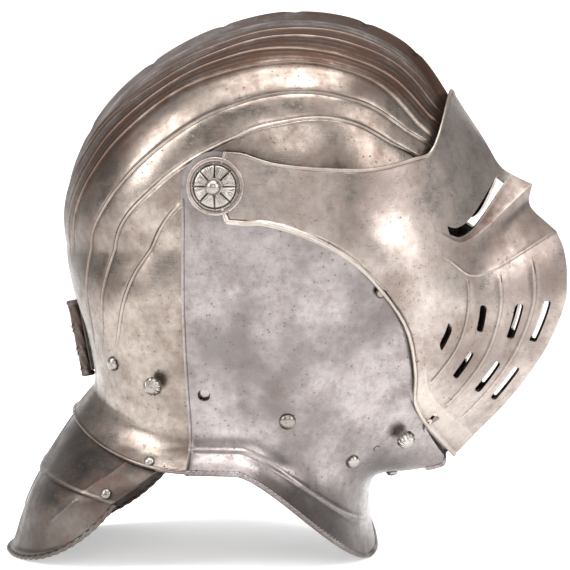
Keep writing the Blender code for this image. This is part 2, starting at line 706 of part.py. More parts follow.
for side in (-1, 1):
    boss(visor, VISOR_HALF_WIDTH, VISOR_PLATE, VISOR_BOSS_RADIUS, side)
    boss(bevor, BEVOR_HALF_WIDTH, BEVOR_PLATE, BEVOR_BOSS_RADIUS, side)
change(skull, rod("pivot_bore", BOLT_RADIUS + FIT, 4 * SKULL_HALF_WIDTH,
                  Vector((PIVOT_X, 0.0, PIVOT_Z)), Vector((0.0, -1.0, 0.0)), 12))
for thing in (bevor, visor):
    hang(thing, PIVOT_X, 0.0, PIVOT_Z)

ROSETTE_FOOT = VISOR_HALF_WIDTH + BOSS_PROUD + FIT
BALL_MIDDLE = ROSETTE_RISE + FIT + BALL_RADIUS * 0.8
bright = steel("bright_steel", BRIGHT_STEEL, 0.26)


def rosette(name, side):
    """Domed washer whose crown is chased into petals."""
    inner = BOLT_RADIUS + FIT
    crown = []
    for k in range(4):
        share = k / 3
        radius = inner + (ROSETTE_RADIUS - inner) * share
        crown.append((radius, ROSETTE_RIM + (ROSETTE_RISE - ROSETTE_RIM) * (1 - share ** 2.2)))
    profile = crown + [(ROSETTE_RADIUS, 0.0), (inner, 0.0)]
    form = bmesh.new()
    verts = [form.verts.new((radius, 0.0, height)) for radius, height in profile]
    edges = [form.edges.new((verts[k - 1], verts[k])) for k in range(len(verts))]
    bmesh.ops.spin(form, geom=verts + edges, cent=(0, 0, 0), axis=(0, 0, 1), dvec=(0, 0, 0),
                   angle=2 * math.pi, steps=3 * PETALS, use_merge=True)
    bmesh.ops.recalc_face_normals(form, faces=form.faces)
    for vert in form.verts:
        radius = math.hypot(vert.co.x, vert.co.y)
        turn = math.atan2(vert.co.y, vert.co.x) * PETALS / 2
        if vert.co.z > ROSETTE_RIM * 1.05 and abs(math.sin(turn)) < 0.1:
            share = min(max((radius - inner) / (ROSETTE_RADIUS - inner), 0.0), 1.0)
            vert.co.z -= PETAL_GROOVE * (4 * share * (1 - share)) ** 0.5
    mesh = bpy.data.meshes.new(name)
    form.to_mesh(mesh)
    form.free()
    thing = put(mesh, name, bright)
    aim(thing, Vector((PIVOT_X, side * ROSETTE_FOOT, PIVOT_Z)), Vector((0.0, side, 0.0)))


def pivot_bolt(name, side):
    inside = -(ROSETTE_FOOT - SKULL_HALF_WIDTH + SKULL_PLATE + FIT)
    tail = BOLT_RADIUS * 1.5
    seat_z = ROSETTE_RISE + FIT
    profile = []
    for k in range(7):
        turn = math.radians(25 * k)
        height = BALL_MIDDLE + BALL_RADIUS * math.cos(turn)
        if height > seat_z:
            profile.append((BALL_RADIUS * math.sin(turn), height))
    profile += [(BOLT_RADIUS, seat_z), (BOLT_RADIUS, inside), (tail, inside),
                (tail * 0.8, inside - BOLT_RADIUS * 0.4), (0.0, inside - BOLT_RADIUS * 0.4)]
    thing = turned(name, profile, 10, bright)
    aim(thing, Vector((PIVOT_X, side * ROSETTE_FOOT, PIVOT_Z)), Vector((0.0, side, 0.0)))


for word, side in (("right", -1), ("left", 1)):
    rosette("pivot_rosette_" + word, side)
    pivot_bolt("pivot_bolt_" + word, side)


# Rivets
def rivet(name, point, outward, head, shank, through, tail_room, lift=FIT):
    """Domed rivet: through is the depth of metal under its head."""
    inside = -(through + tail_room)
    profile = dome(head, head * 0.62, lift, 2)
    profile += [(shank, lift), (shank, inside), (shank * 1.6, inside),
                (0.0, inside - shank * 0.6)]
    thing = turned(name, profile, 8, bright)
    aim(thing, point, outward)


def both_sides(point, outward):
    flip = Vector((1.0, -1.0, 1.0))
    return (("right", point, outward), ("left", point * flip, outward * flip))


upper_pin = seat(neck_point, UPPER_PIN_X, UPPER_PIN_Z)
lower_pin = seat(upper_lame_point, LOWER_PIN_X, LOWER_PIN_Z)
for label, pin, plates, walls in (
        ("upper", upper_pin, (skull, nape_lame_upper), (SKULL_PLATE, LAME_PLATE)),
        ("lower", lower_pin, (nape_lame_upper, nape_lame_lower), (LAME_PLATE, LAME_PLATE))):
    for word, point, outward in both_sides(*pin):
        for thing, room in zip(plates, (FIT, 2 * FIT)):
            bore(thing, point, outward, LAME_SHANK + room)
        rivet("nape_rivet_" + label + "_" + word, point, outward, LAME_RIVET, LAME_SHANK,
              sum(walls) + LAME_GAP, 2 * FIT, LAME_RIVET_LIFT)

hang(nape_lame_upper, UPPER_PIN_X, 0.0, UPPER_PIN_Z)
hang(nape_lame_lower, LOWER_PIN_X, 0.0, LOWER_PIN_Z)

chin, chin_way = seat(bevor_point, *from_pivots(FACE_REACH, CHIN_PLACE))
chin.y, chin_way.y = 0.0, 0.0
bore(bevor, chin, chin_way, RIVET_SHANK + FIT)
rivet("chin_rivet", chin, chin_way.normalized(), CHIN_RIVET, RIVET_SHANK, BEVOR_PLATE, 4 * FIT,
      3 * FIT)

cheek = seat(bevor_point, *from_pivots(FACE_REACH, CHEEK_PLACE))
for word, point, outward in both_sides(*cheek):
    bore(bevor, point, outward, RIVET_SHANK + FIT)
    rivet("cheek_rivet_" + word, point, outward, CHEEK_RIVET, RIVET_SHANK, BEVOR_PLATE, FIT,
          2 * FIT)


# Spring catches on the wearer's right: a leaf riveted inside the plate, with a knob and a stud
catch_steel = steel("catch_steel", BRIGHT_STEEL, 0.30)


def catch(name, point_of, reach, home, wall, shares, top):
    """Leaf from its rivet to its stud along the inside of a plate, in one piece with both."""
    places = [from_pivots(reach, share) for share in shares]
    (rivet_x, rivet_z), (knob_x, knob_z), (stud_x, stud_z) = places
    way = Vector((stud_x - rivet_x, 0.0, stud_z - rivet_z))
    across = Vector((-way.z, 0.0, way.x)).normalized() * LEAF_WIDTH / 2
    over = way.normalized() * LEAF_WIDTH * 0.6
    start = Vector((rivet_x, 0.0, rivet_z)) - over
    whole = way + over * 2
    rows = []
    for j in (-1, 0, 1):
        row = []
        for i in range(LEAF_STEPS + 1):
            share = i / LEAF_STEPS
            place = start + whole * share + across * j
            point, outward = seat(point_of, place.x, place.z)
            sag = CATCH_CLEAR + LEAF_SAG * math.sin(math.pi * share)
            row.append(point - outward * (wall + sag))
        rows.append(row)
    mesh = sheet_mesh(name, rows)
    thing = put(mesh, name, catch_steel)
    leaf = thing.modifiers.new("thickness", "SOLIDIFY")
    leaf.thickness = LEAF_THICK
    leaf.offset = -1.0
    leaf.use_even_offset = True
    foot = wall + CATCH_CLEAR + LEAF_SAG + LEAF_THICK * 0.6
    point, outward = seat(point_of, knob_x, knob_z)
    knob = [(radius, height + KNOB_STANDOFF) for radius, height
            in dome(KNOB_RADIUS, KNOB_RADIUS * 0.9, KNOB_RADIUS * 0.35, 4)]
    knob += [(KNOB_RADIUS * 0.8, KNOB_STANDOFF), (KNOB_SHANK, KNOB_STANDOFF), (KNOB_SHANK, -foot),
             (0.0, -foot)]
    button = turned("knob_" + name, knob, 12, None, cutters)
    aim(button, point, outward)
    change(thing, button, "UNION")
    bore(home, point, outward, KNOB_SHANK + 2 * CATCH_CLEAR)
    point, outward = seat(point_of, stud_x, stud_z)
    crown = dome(STUD_RADIUS, top, 0.0, 2)
    stud = turned("stud_" + name, crown + [(STUD_RADIUS, -foot), (0.0, -foot)], 12, None, cutters)
    aim(stud, point, outward)
    change(thing, stud, "UNION")
    bore(home, point, outward, STUD_RADIUS + CATCH_CLEAR)
    fixing, away = seat(point_of, rivet_x, rivet_z)
    rivet(name + "_rivet", fixing, away, LEAF_RIVET, RIVET_SHANK,
          wall + CATCH_CLEAR + LEAF_THICK + LEAF_SAG * 0.3, 2 * CATCH_CLEAR, 2 * FIT)
    bore(home, fixing, away, RIVET_SHANK + FIT)
    bore(thing, fixing, away, RIVET_SHANK + 2 * CATCH_CLEAR)
    hang(thing, *fixing)
    return point, outward


stud_point, stud_way = catch("skull_catch", neck_point, CROWN_REACH, skull, SKULL_PLATE,
                             SKULL_CATCH, PLATE_GAP - FIT)
bore(bevor, stud_point, stud_way, CATCH_HOLE)
stud_point, stud_way = catch("bevor_catch", bevor_point, FACE_REACH, bevor, BEVOR_PLATE,
                             BEVOR_CATCH, PLATE_GAP - FIT)
bore(visor, stud_point, stud_way, CATCH_HOLE)


# Plume holder: a tapered tube on a backing plate at the nape
def plume_holder():
    high, low = (seat(neck_point, *from_pivots(CROWN_REACH, place))[0] for place in PLUME_PLACES)
    way = (high - low).normalized()
    out = Vector((-way.z, 0.0, way.x))
    middle = (low + high) / 2 + out * (PLUME_STANDOFF + PLUME_BACKING[1] / 2)
    ring = [(PLUME_TUBE_TOP, PLUME_LENGTH / 2), (PLUME_TUBE_LOW, -PLUME_LENGTH / 2),
            (PLUME_BORE, -PLUME_LENGTH / 2), (PLUME_BORE, PLUME_LENGTH / 2)]
    form = bmesh.new()
    verts = [form.verts.new((radius, 0.0, height)) for radius, height in ring]
    edges = [form.edges.new((verts[k - 1], verts[k])) for k in range(len(verts))]
    bmesh.ops.spin(form, geom=verts + edges, cent=(0, 0, 0), axis=(0, 0, 1), dvec=(0, 0, 0),
                   angle=2 * math.pi, steps=16, use_merge=True)
    bmesh.ops.recalc_face_normals(form, faces=form.faces)
    mesh = bpy.data.meshes.new("plume_holder")
    form.to_mesh(mesh)
    form.free()
    tube = put(mesh, "plume_holder", steel("holder_steel", DARK_STEEL, 0.36))
    reach = PLUME_BACKING[1] / 2 + (PLUME_TUBE_LOW + PLUME_BORE) / 2
    aim(tube, middle + out * reach, way)
    form = bmesh.new()
    bmesh.ops.create_cube(form, size=1.0)
    width, thick, height = PLUME_BACKING
    bmesh.ops.scale(form, vec=(thick, width, height), verts=form.verts)
    mesh = bpy.data.meshes.new("backing")
    form.to_mesh(mesh)
    form.free()
    backing = put(mesh, "backing", None, cutters)
    turn = Matrix((out, Vector((0.0, 1.0, 0.0)), way)).transposed()
    backing.matrix_world = Matrix.Translation(middle) @ turn.to_4x4()
    change(tube, backing, "UNION")


plume_holder()


# The floor: both edges that the helmet stands on are dressed flat
form = bmesh.new()
bmesh.ops.create_cube(form, size=1.0)
ground = bpy.data.meshes.new("ground")
form.to_mesh(ground)
form.free()
ground.transform(Matrix.Diagonal((1.0, 1.0, FLOOR_DEPTH, 1.0)))
ground = put(ground, "ground", None, cutters)
ground.location = Vector((0.0, 0.0, -FLOOR_DEPTH / 2))
for thing in (bevor, nape_lame_lower):
    change(thing, ground)
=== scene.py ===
"""Looks of a fluted steel close helmet: fine plates, roped edges, fittings and old polished steel.

Metres, +Z up, +X the way the wearer faces. Every plate follows the same surface as its solid; the
flutes, ledges, engraved lines and rolled edges are worked into it here.
"""
import functools
import math

import bmesh
import bpy
import numpy as np
from mathutils import Matrix, Vector


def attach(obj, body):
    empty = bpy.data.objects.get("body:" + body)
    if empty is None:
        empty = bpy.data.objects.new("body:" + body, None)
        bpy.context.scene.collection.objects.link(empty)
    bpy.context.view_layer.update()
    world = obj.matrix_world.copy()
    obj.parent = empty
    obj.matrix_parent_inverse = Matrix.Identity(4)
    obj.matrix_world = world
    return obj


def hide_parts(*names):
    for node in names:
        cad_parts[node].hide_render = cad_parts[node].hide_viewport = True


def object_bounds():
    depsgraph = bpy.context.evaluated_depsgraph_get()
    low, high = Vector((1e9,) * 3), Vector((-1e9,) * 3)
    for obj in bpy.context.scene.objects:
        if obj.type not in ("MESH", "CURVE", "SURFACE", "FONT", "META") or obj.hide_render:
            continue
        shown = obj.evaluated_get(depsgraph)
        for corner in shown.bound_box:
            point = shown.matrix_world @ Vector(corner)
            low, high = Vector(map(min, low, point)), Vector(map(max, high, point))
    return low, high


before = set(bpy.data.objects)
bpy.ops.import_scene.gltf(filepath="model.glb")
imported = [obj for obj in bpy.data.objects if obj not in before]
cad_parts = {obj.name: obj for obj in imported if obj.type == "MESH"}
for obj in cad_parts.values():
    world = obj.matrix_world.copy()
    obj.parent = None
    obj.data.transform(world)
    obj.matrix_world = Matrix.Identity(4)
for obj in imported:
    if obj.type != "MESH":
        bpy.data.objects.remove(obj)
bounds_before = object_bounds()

# Camera and studio: the photograph looks at the wearer's right side, a little from the front and
# from just above the table. A pale sweep carries the helmet, under four soft boxes.
CAMERA_AZIMUTH = 9.0
CAMERA_ELEVATION = 5.0
CAMERA_DISTANCE = 1.80
CAMERA_FIELD = 0.337
CAMERA_TARGET = Vector((0.0, 0.0, 0.1591))
SENSOR = 36.0
PAPER_GLOW = 0.45
WORLD_STRENGTH = 0.5


def linear(code):
    """Linear colour of an sRGB hex code."""
    parts = [int(code[k:k + 2], 16) / 255 for k in (0, 2, 4)]
    return [c / 12.92 if c <= 0.04045 else ((c + 0.055) / 1.055) ** 2.4 for c in parts] + [1.0]


def add_node(tree, kind, settings=None, links=None, output=0):
    """Output of a new shader node, with its settings and what is linked into it."""
    node = tree.nodes.new("ShaderNode" + kind)
    for key, value in (settings or {}).items():
        if isinstance(key, str) and hasattr(node, key):
            setattr(node, key, value)
        else:
            node.inputs[key].default_value = value
    for socket, source in (links or {}).items():
        tree.links.new(source, node.inputs[socket])
    return node.outputs[output]


def side_direction(azimuth, elevation):
    turn, rise = math.radians(azimuth), math.radians(elevation)
    return Vector((math.sin(turn) * math.cos(rise), -math.cos(turn) * math.cos(rise),
                   math.sin(rise)))


def look_at(thing, target):
    away = thing.location - target
    thing.rotation_euler = away.to_track_quat("Z", "Y").to_euler()


def placed(name, data):
    """New object of the scene."""
    thing = bpy.data.objects.new(name, data)
    bpy.context.scene.collection.objects.link(thing)
    return thing


def mesh_of(name, form):
    mesh = bpy.data.meshes.new(name)
    form.to_mesh(mesh)
    form.free()
    return mesh


def set_camera():
    lens = bpy.data.cameras.new("camera")
    lens.sensor_width = SENSOR
    lens.lens = SENSOR * CAMERA_DISTANCE / CAMERA_FIELD
    camera = placed("camera", lens)
    direction = side_direction(CAMERA_AZIMUTH, CAMERA_ELEVATION)
    camera.location = CAMERA_TARGET + direction * CAMERA_DISTANCE
    look_at(camera, CAMERA_TARGET)
    bpy.context.scene.camera = camera


def soft_box(name, azimuth, elevation, distance, width, height, power, tint):
    lamp = bpy.data.lights.new(name, "AREA")
    lamp.shape = "RECTANGLE"
    lamp.size, lamp.size_y = width, height
    lamp.energy = power
    lamp.color = linear(tint)[:3]
    box = placed(name, lamp)
    box.location = CAMERA_TARGET + side_direction(azimuth, elevation) * distance
    look_at(box, CAMERA_TARGET)


def paper(name):
    """White seamless paper with the faint tooth of pressed pulp."""
    material = bpy.data.materials.new(name)
    material.use_nodes = True
    tree = material.node_tree
    shader = tree.nodes["Principled BSDF"]
    shader.inputs["Roughness"].default_value = 0.9
    shader.inputs["Specular IOR Level"].default_value = 0.1
    place = add_node(tree, "TexCoord", output="Object")
    tooth = add_node(tree, "TexNoise", {"Scale": 900.0, "Detail": 3.0}, {"Vector": place})
    colour = add_node(tree, "Mix", {"data_type": "RGBA", 6: linear("FFFFFF"), 7: linear("FAFAF9")},
                      {0: tooth}, 2)
    tree.links.new(colour, shader.inputs["Base Color"])
    shader.inputs["Emission Color"].default_value = linear("FFFFFF")
    shader.inputs["Emission Strength"].default_value = PAPER_GLOW
    return material


def sweep():
    """Floor that curves up into a backdrop behind the helmet."""
    width, near, bend, rise = 6.0, 3.0, 1.2, 2.4
    form = bmesh.new()
    bmesh.ops.create_grid(form, x_segments=2, y_segments=60, size=1.0)
    back = side_direction(CAMERA_AZIMUTH, 0.0) * -1
    side = Vector((-back.y, back.x, 0.0))
    for vert in form.verts:
        run = (vert.co.y + 1) / 2 * (2 * near + bend * math.pi / 2 + rise) - near
        if run < near:
            along, height = run, 0.0
        elif run < near + bend * math.pi / 2:
            turn = (run - near) / bend
            along, height = near + bend * math.sin(turn), bend * (1 - math.cos(turn))
        else:
            along, height = near + bend, bend + run - near - bend * math.pi / 2
        vert.co = side * vert.co.x * width / 2 + back * along + Vector((0.0, 0.0, height))
    mesh = mesh_of("sweep", form)
    mesh.shade_smooth()
    floor = placed("sweep", mesh)
    mesh.materials.append(paper("seamless_paper"))


set_camera()
sweep()
soft_box("top_box", 20, 76, 1.5, 1.4, 0.9, 34.0, "FFFFFF")
soft_box("left_box", -52, 28, 1.6, 0.7, 1.2, 18.0, "FFFBFA")
soft_box("right_box", 66, 22, 1.7, 0.6, 1.1, 16.0, "FFFBFA")
soft_box("front_box", 14, 22, 2.1, 1.1, 0.9, 13.0, "FFFBFA")
world = bpy.data.worlds.new("studio")
world.use_nodes = True
world.node_tree.nodes["Background"].inputs["Color"].default_value = linear("FFFFFF")
world.node_tree.nodes["Background"].inputs["Strength"].default_value = WORLD_STRENGTH
bpy.context.scene.world = world
bpy.context.scene.view_settings.view_transform = "Standard"

# Skull: the deep rear plate of polished steel, raised from one sheet, with a low roped comb,
# curved flutes chased on both sides and a flared neck flange. Head surfaces are given in polar
# form about the pivots, neck surfaces in rows down to the flange.
PIVOT_X, PIVOT_Z = -0.0228, 0.2229
SKULL_HALF_WIDTH = 0.1000
FACE_REACH, CROWN_REACH = 0.2030, 0.1100
FLAT_RADIUS = 0.0200
SKULL_PLATE = 0.0018
PLATE_GAP = 0.0007
FLARE_EASE = 0.9
SEAM_X = PIVOT_X - 0.0200
SKULL_FRONT_TOP, SKULL_FRONT_LOW = 0.0240, 0.0048
BROW_SAG = 0.0120
COMB_HEIGHT, COMB_HALF = 0.0045, 0.0055
FLANGE_SIDE_Z = 0.0590
NAPE_ANGLE, BROW_ANGLE = 200, 13
CROWN_LOW = 0.190
FRONT_Z = PIVOT_Z - 0.012
CROWN = (
    {"angle": 8, "reach": 1.215, "full": 2.25, "round": 1.60},
    {"angle": 24, "reach": 1.166, "full": 2.20, "round": 1.90},
    {"angle": 37, "reach": 1.132, "full": 2.10, "round": 2.00},
    {"angle": 52, "reach": 1.048, "full": 2.10, "round": 2.00},
    {"angle": 74, "reach": 0.922, "full": 2.10, "round": 2.00},
    {"angle": 99, "reach": 0.820, "full": 2.10, "round": 2.00},
    {"angle": 130, "reach": 0.800, "full": 2.10, "round": 2.00},
    {"angle": 164, "reach": 0.895, "full": 2.10, "round": 2.00},
    {"angle": 188, "reach": 1.000, "full": 2.10, "round": 2.00},
    {"angle": 200, "reach": 1.032, "full": 2.10, "round": 2.00},
)
SIDE = (
    {"z": 0.0590, "half": 0.880}, {"z": 0.0660, "half": 0.815}, {"z": 0.0730, "half": 0.778},
    {"z": 0.0800, "half": 0.768}, {"z": 0.0880, "half": 0.782}, {"z": 0.1050, "half": 0.848},
    {"z": 0.1300, "half": 0.925}, {"z": 0.1600, "half": 0.978}, {"z": 0.1900, "half": 0.999},
    {"z": 0.2229, "half": 1.000},
)
SKULL_ROWS = (
    {"side": 0.160, "x": -0.9336, "z": 0.1600, "full": 2.10, "round": 2.00, "drop": 2.00},
    {"side": 0.130, "x": -0.8545, "z": 0.1330, "full": 2.10, "round": 2.00, "drop": 2.00},
    {"side": 0.105, "x": -0.8182, "z": 0.1100, "full": 2.05, "round": 2.00, "drop": 2.00},
    {"side": 0.088, "x": -0.8255, "z": 0.1010, "full": 2.00, "round": 2.00, "drop": 2.00},
    {"side": 0.080, "x": -0.8455, "z": 0.0980, "full": 1.98, "round": 2.00, "drop": 2.00},
    {"side": 0.073, "x": -0.8727, "z": 0.0945, "full": 1.95, "round": 2.00, "drop": 2.00},
    {"side": 0.066, "x": -0.9045, "z": 0.0903, "full": 1.92, "round": 2.00, "drop": 2.00},
    {"side": 0.059, "x": -0.9400, "z": 0.0855, "full": 1.90, "round": 2.00, "drop": 2.00},
)
# Each flute as (place down the skull, share from its side to the comb): 0 is the brow, 1 the nape
FLUTES = (
    ((0.80, 0.36), (0.98, 0.45), (1.08, 0.56), (1.30, 0.75)),
    ((0.00, 0.81), (0.08, 0.72), (0.17, 0.62), (0.28, 0.52), (0.47, 0.46), (0.67, 0.47),
     (0.82, 0.52), (1.00, 0.65), (1.30, 0.84)),
    ((0.00, 0.88), (0.10, 0.79), (0.17, 0.73), (0.32, 0.65), (0.45, 0.62), (0.72, 0.62),
     (0.90, 0.70), (1.00, 0.78), (1.30, 0.90)),
    ((0.00, 0.905), (0.10, 0.87), (0.24, 0.82), (0.38, 0.79), (0.58, 0.79), (0.72, 0.79),
     (0.82, 0.82), (1.05, 0.91)),
    ((0.00, 0.955), (0.10, 0.92), (0.18, 0.89), (0.27, 0.87), (0.53, 0.85), (0.70, 0.845),
     (0.82, 0.87), (1.05, 0.94)),
    ((0.02, 0.980), (0.12, 0.96), (0.20, 0.94), (0.33, 0.92), (0.50, 0.893), (0.63, 0.888),
     (0.80, 0.93), (0.90, 0.965)),
    ((0.04, 0.988), (0.13, 0.978), (0.22, 0.968), (0.33, 0.952), (0.52, 0.93), (0.72, 0.932),
     (0.86, 0.975)),
)
FLUTE_RISE, FLUTE_GROOVE = 0.00050, 0.00030
FLUTE_BEAD, FLUTE_SIDE, FLUTE_GAP = 0.00065, 0.00130, 0.00040
FLUTE_STEPS = (-0.0023, -0.0017, -0.0013, -0.0009, -0.00045, 0.0, 0.00045, 0.0009, 0.0013, 0.0017,
               0.0023)
COMB_NOTCHES = (37, 52, 74, 99, 130, 164, 188)
NOTCH_DEPTH, NOTCH_WIDTH = 0.0009, 0.0026
SKULL_CREASE = ((-0.200, -1.359), (-0.525, -1.414))
CREASE_RISE = 0.000315
FLUTE_FILLS = (16, 9, 7, 6, 4, 3, 3, 9)
CREASE_WIDTH, COMB_BROWNING = 0.0012, 1.1
# The last two colours are painted light: shade for the grooves, highlight (partly rubbed steel) for
# the ridges
BROWN_PATINA_AND_SHADE, PIT_RUST, PAINTED_GROOVE_SHADE, RIDGE_HIGHLIGHT_AND_RUB = "46332A", "3A2A20", "2A211B", "B9B1A8"
FINE_LINES = 18.85


def smooth(table, column, at, key):
    """Value of a column at a place between the rows of a table, on a smooth curve."""
    places = [row[key] for row in table]
    values = [row[column] for row in table]
    if at <= places[0]:
        return values[0]
    if at >= places[-1]:
        return values[-1]
    low = max(k for k in range(len(places) - 1) if places[k] <= at)

    def slope(k):
        before, after = max(k - 1, 0), min(k + 1, len(places) - 1)
        return (values[after] - values[before]) / (places[after] - places[before])

    step = places[low + 1] - places[low]
    t = (at - places[low]) / step
    return ((1 + 2 * t) * (1 - t) ** 2 * values[low] + t * (1 - t) ** 2 * step * slope(low)
            + t * t * (3 - 2 * t) * values[low + 1] + t * t * (t - 1) * step * slope(low + 1))


def spline(points, t):
    """Point at t between 0 and 1 on a smooth curve through evenly counted points."""
    last = len(points) - 1
    place = min(max(t, 0.0), 1.0) * last
    k = min(int(place), last - 1)
    u = place - k
    p1, p2 = points[k], points[k + 1]
    p0 = points[k - 1] if k > 0 else 2 * p1 - p2
    p3 = points[k + 2] if k + 2 <= last else 2 * p2 - p1
    return 0.5 * (2 * p1 + (p2 - p0) * u + (2 * p0 - 5 * p1 + 4 * p2 - p3) * u * u
                  + (3 * p1 - p0 - 3 * p2 + p3) * u ** 3)


def polar(angle, radius):
    turn = math.radians(angle)
    return PIVOT_X + radius * math.cos(turn), PIVOT_Z + radius * math.sin(turn)


def depth(table, reach, x, z, half, inset=0.0):
    """Half width of a head surface at a place in the side view."""
    angle = math.degrees(math.atan2(z - PIVOT_Z, x - PIVOT_X))
    if table is CROWN and angle < -90:
        angle += 360
    edge = reach * smooth(table, "reach", angle, "angle") - inset
    out = max(0.0, (math.hypot(x - PIVOT_X, z - PIVOT_Z) - FLAT_RADIUS) / (edge - FLAT_RADIUS))
    full = smooth(table, "full", angle, "angle")
    return half * max(0.0, 1 - out ** full) ** (1 / smooth(table, "round", angle, "angle"))


def side_half(z, over):
    """Half width at the seam of a surface that lies a distance over the skull's."""
    step = 0.001
    half = smooth(SIDE, "half", z, "z")
    slope = (smooth(SIDE, "half", z + step, "z") - half) * SKULL_HALF_WIDTH / step
    return SKULL_HALF_WIDTH * half + over * (1 + FLARE_EASE * slope * slope)


def row_point(row, reach, start_x, flat_x, u, over):
    """Point of a neck row: flat at the side as far as flat_x, then round to the middle."""
    end_x = PIVOT_X + row["x"] * reach
    x = start_x + (end_x - start_x) * u
    share = min(max((x - flat_x) / (end_x - flat_x), 0.0), 1.0)
    half = side_half(row["side"], over)
    y = half * max(0.0, 1 - share ** row["full"]) ** (1 / row["round"])
    return Vector((x, -y, row["side"] + (row["z"] - row["side"]) * share ** row["drop"]))


def skull_front_x(z):
    share = (FRONT_Z - z) / (FRONT_Z - FLANGE_SIDE_Z)
    return PIVOT_X + SKULL_FRONT_TOP + (SKULL_FRONT_LOW - SKULL_FRONT_TOP) * share


def comb_share(angle):
    rise = min(max((angle - BROW_ANGLE) / 8, 0.0), 1.0)
    fall = min(max((NAPE_ANGLE + 6 - angle) / 40, 0.0), 1.0)
    return rise * fall * fall * (3 - 2 * fall)


def crown_point(u, v):
    """Upper skull: v runs from the brow over the comb to the nape, u from side to comb."""
    angle = BROW_ANGLE + (NAPE_ANGLE - BROW_ANGLE) * v
    start_z = FRONT_Z + (CROWN_LOW - FRONT_Z) * v
    start_x = skull_front_x(start_z)
    comb = COMB_HEIGHT * comb_share(angle)
    end_x, end_z = polar(angle, CROWN_REACH * smooth(CROWN, "reach", angle, "angle") - comb)
    x = start_x + (end_x - start_x) * u
    z = start_z + (end_z - start_z) * u - BROW_SAG * 4 * u * (1 - u) * (1 - v) ** 3
    half = depth(CROWN, CROWN_REACH, x, z, SKULL_HALF_WIDTH, comb) if u < 1 else 0.0
    out = Vector((x - PIVOT_X, 0.0, z - PIVOT_Z)).normalized()
    lift = comb * max(0.0, 1 - (half / COMB_HALF) ** 2) ** 1.5
    return Vector((x, -half, z)) + out * lift


def neck_point(u, v):
    """Lower skull: v runs from the nape down to the edge of the flange."""
    above = [crown_point(u, 0.90), crown_point(u, 1.0)]
    below = [row_point(row, CROWN_REACH, skull_front_x(row["side"]), SEAM_X, u, 0.0)
             for row in SKULL_ROWS]
    points = above + below
    return spline(points, (1 + v * len(below)) / (len(points) - 1))


def skull_point(u, v):
    return crown_point(u, v) if v <= 1 else neck_point(u, v - 1)


def bell(distance, width):
    return math.exp(-(distance / width) ** 2)


def ramp(value, low, high):
    share = min(max((value - low) / (high - low), 0.0), 1.0)
    return share * share * (3 - 2 * share)


def curve_at(points, at):
    """Second value of a short list of pairs at a place of the first, on a smooth curve."""
    table = [{"at": first, "value": second} for first, second in points]
    return smooth(table, "value", at, "at")


def off_line(point, line):
    """Distance in the side view from a line given by two places, as shares of CROWN_REACH."""
    (x1, z1), (x2, z2) = [(PIVOT_X + x * CROWN_REACH, PIVOT_Z + z * CROWN_REACH) for x, z in line]
    run = math.hypot(x2 - x1, z2 - z1)
    along = ((point.x - x1) * (x2 - x1) + (point.z - z1) * (z2 - z1)) / run
    across = abs((point.x - x1) * (z2 - z1) - (point.z - z1) * (x2 - x1)) / run
    return math.hypot(across, max(0.0, -along, along - run))


def outward_grid(points, inside):
    """Unit normals of a grid of points, away from a point inside."""
    along = np.gradient(points, axis=1)
    across = np.gradient(points, axis=0)
    normals = np.cross(along, across)
    normals /= np.maximum(np.linalg.norm(normals, axis=2, keepdims=True), 1e-12)
    facing = np.sum((points - np.array(inside)) * normals)
    return normals if facing > 0 else -normals


def inside_box(mesh):
    """Keep a finished mesh within the box of the solids, so that it stands where they stand."""
    low, high = np.array(bounds_before[0]), np.array(bounds_before[1])
    places = np.empty(len(mesh.vertices) * 3)
    mesh.vertices.foreach_get("co", places)
    places = np.clip(places.reshape(-1, 3), low, high)
    mesh.vertices.foreach_set("co", places.ravel())
    mesh.update()


def finish(thing, body, nodes, material):
    """Give a piece its steel, its body and the solids that it stands for."""
    thing.data.materials.append(material)
    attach(thing, body)
    if nodes:
        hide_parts(*nodes)


def pierce(form, centre, outward, radius):
    """Round hole in an open sheet: cells inside go, and their rim moves onto the circle."""
    cells = [face for face in form.faces
             if (face.calc_center_median() - centre).length < radius]
    rim = {vert for face in cells for vert in face.verts}
    bmesh.ops.delete(form, geom=cells, context="FACES")
    for vert in rim:
        if vert.is_valid:
            away = vert.co - centre
            lift = outward * away.dot(outward)
            vert.co = centre + (away - lift).normalized() * radius + lift


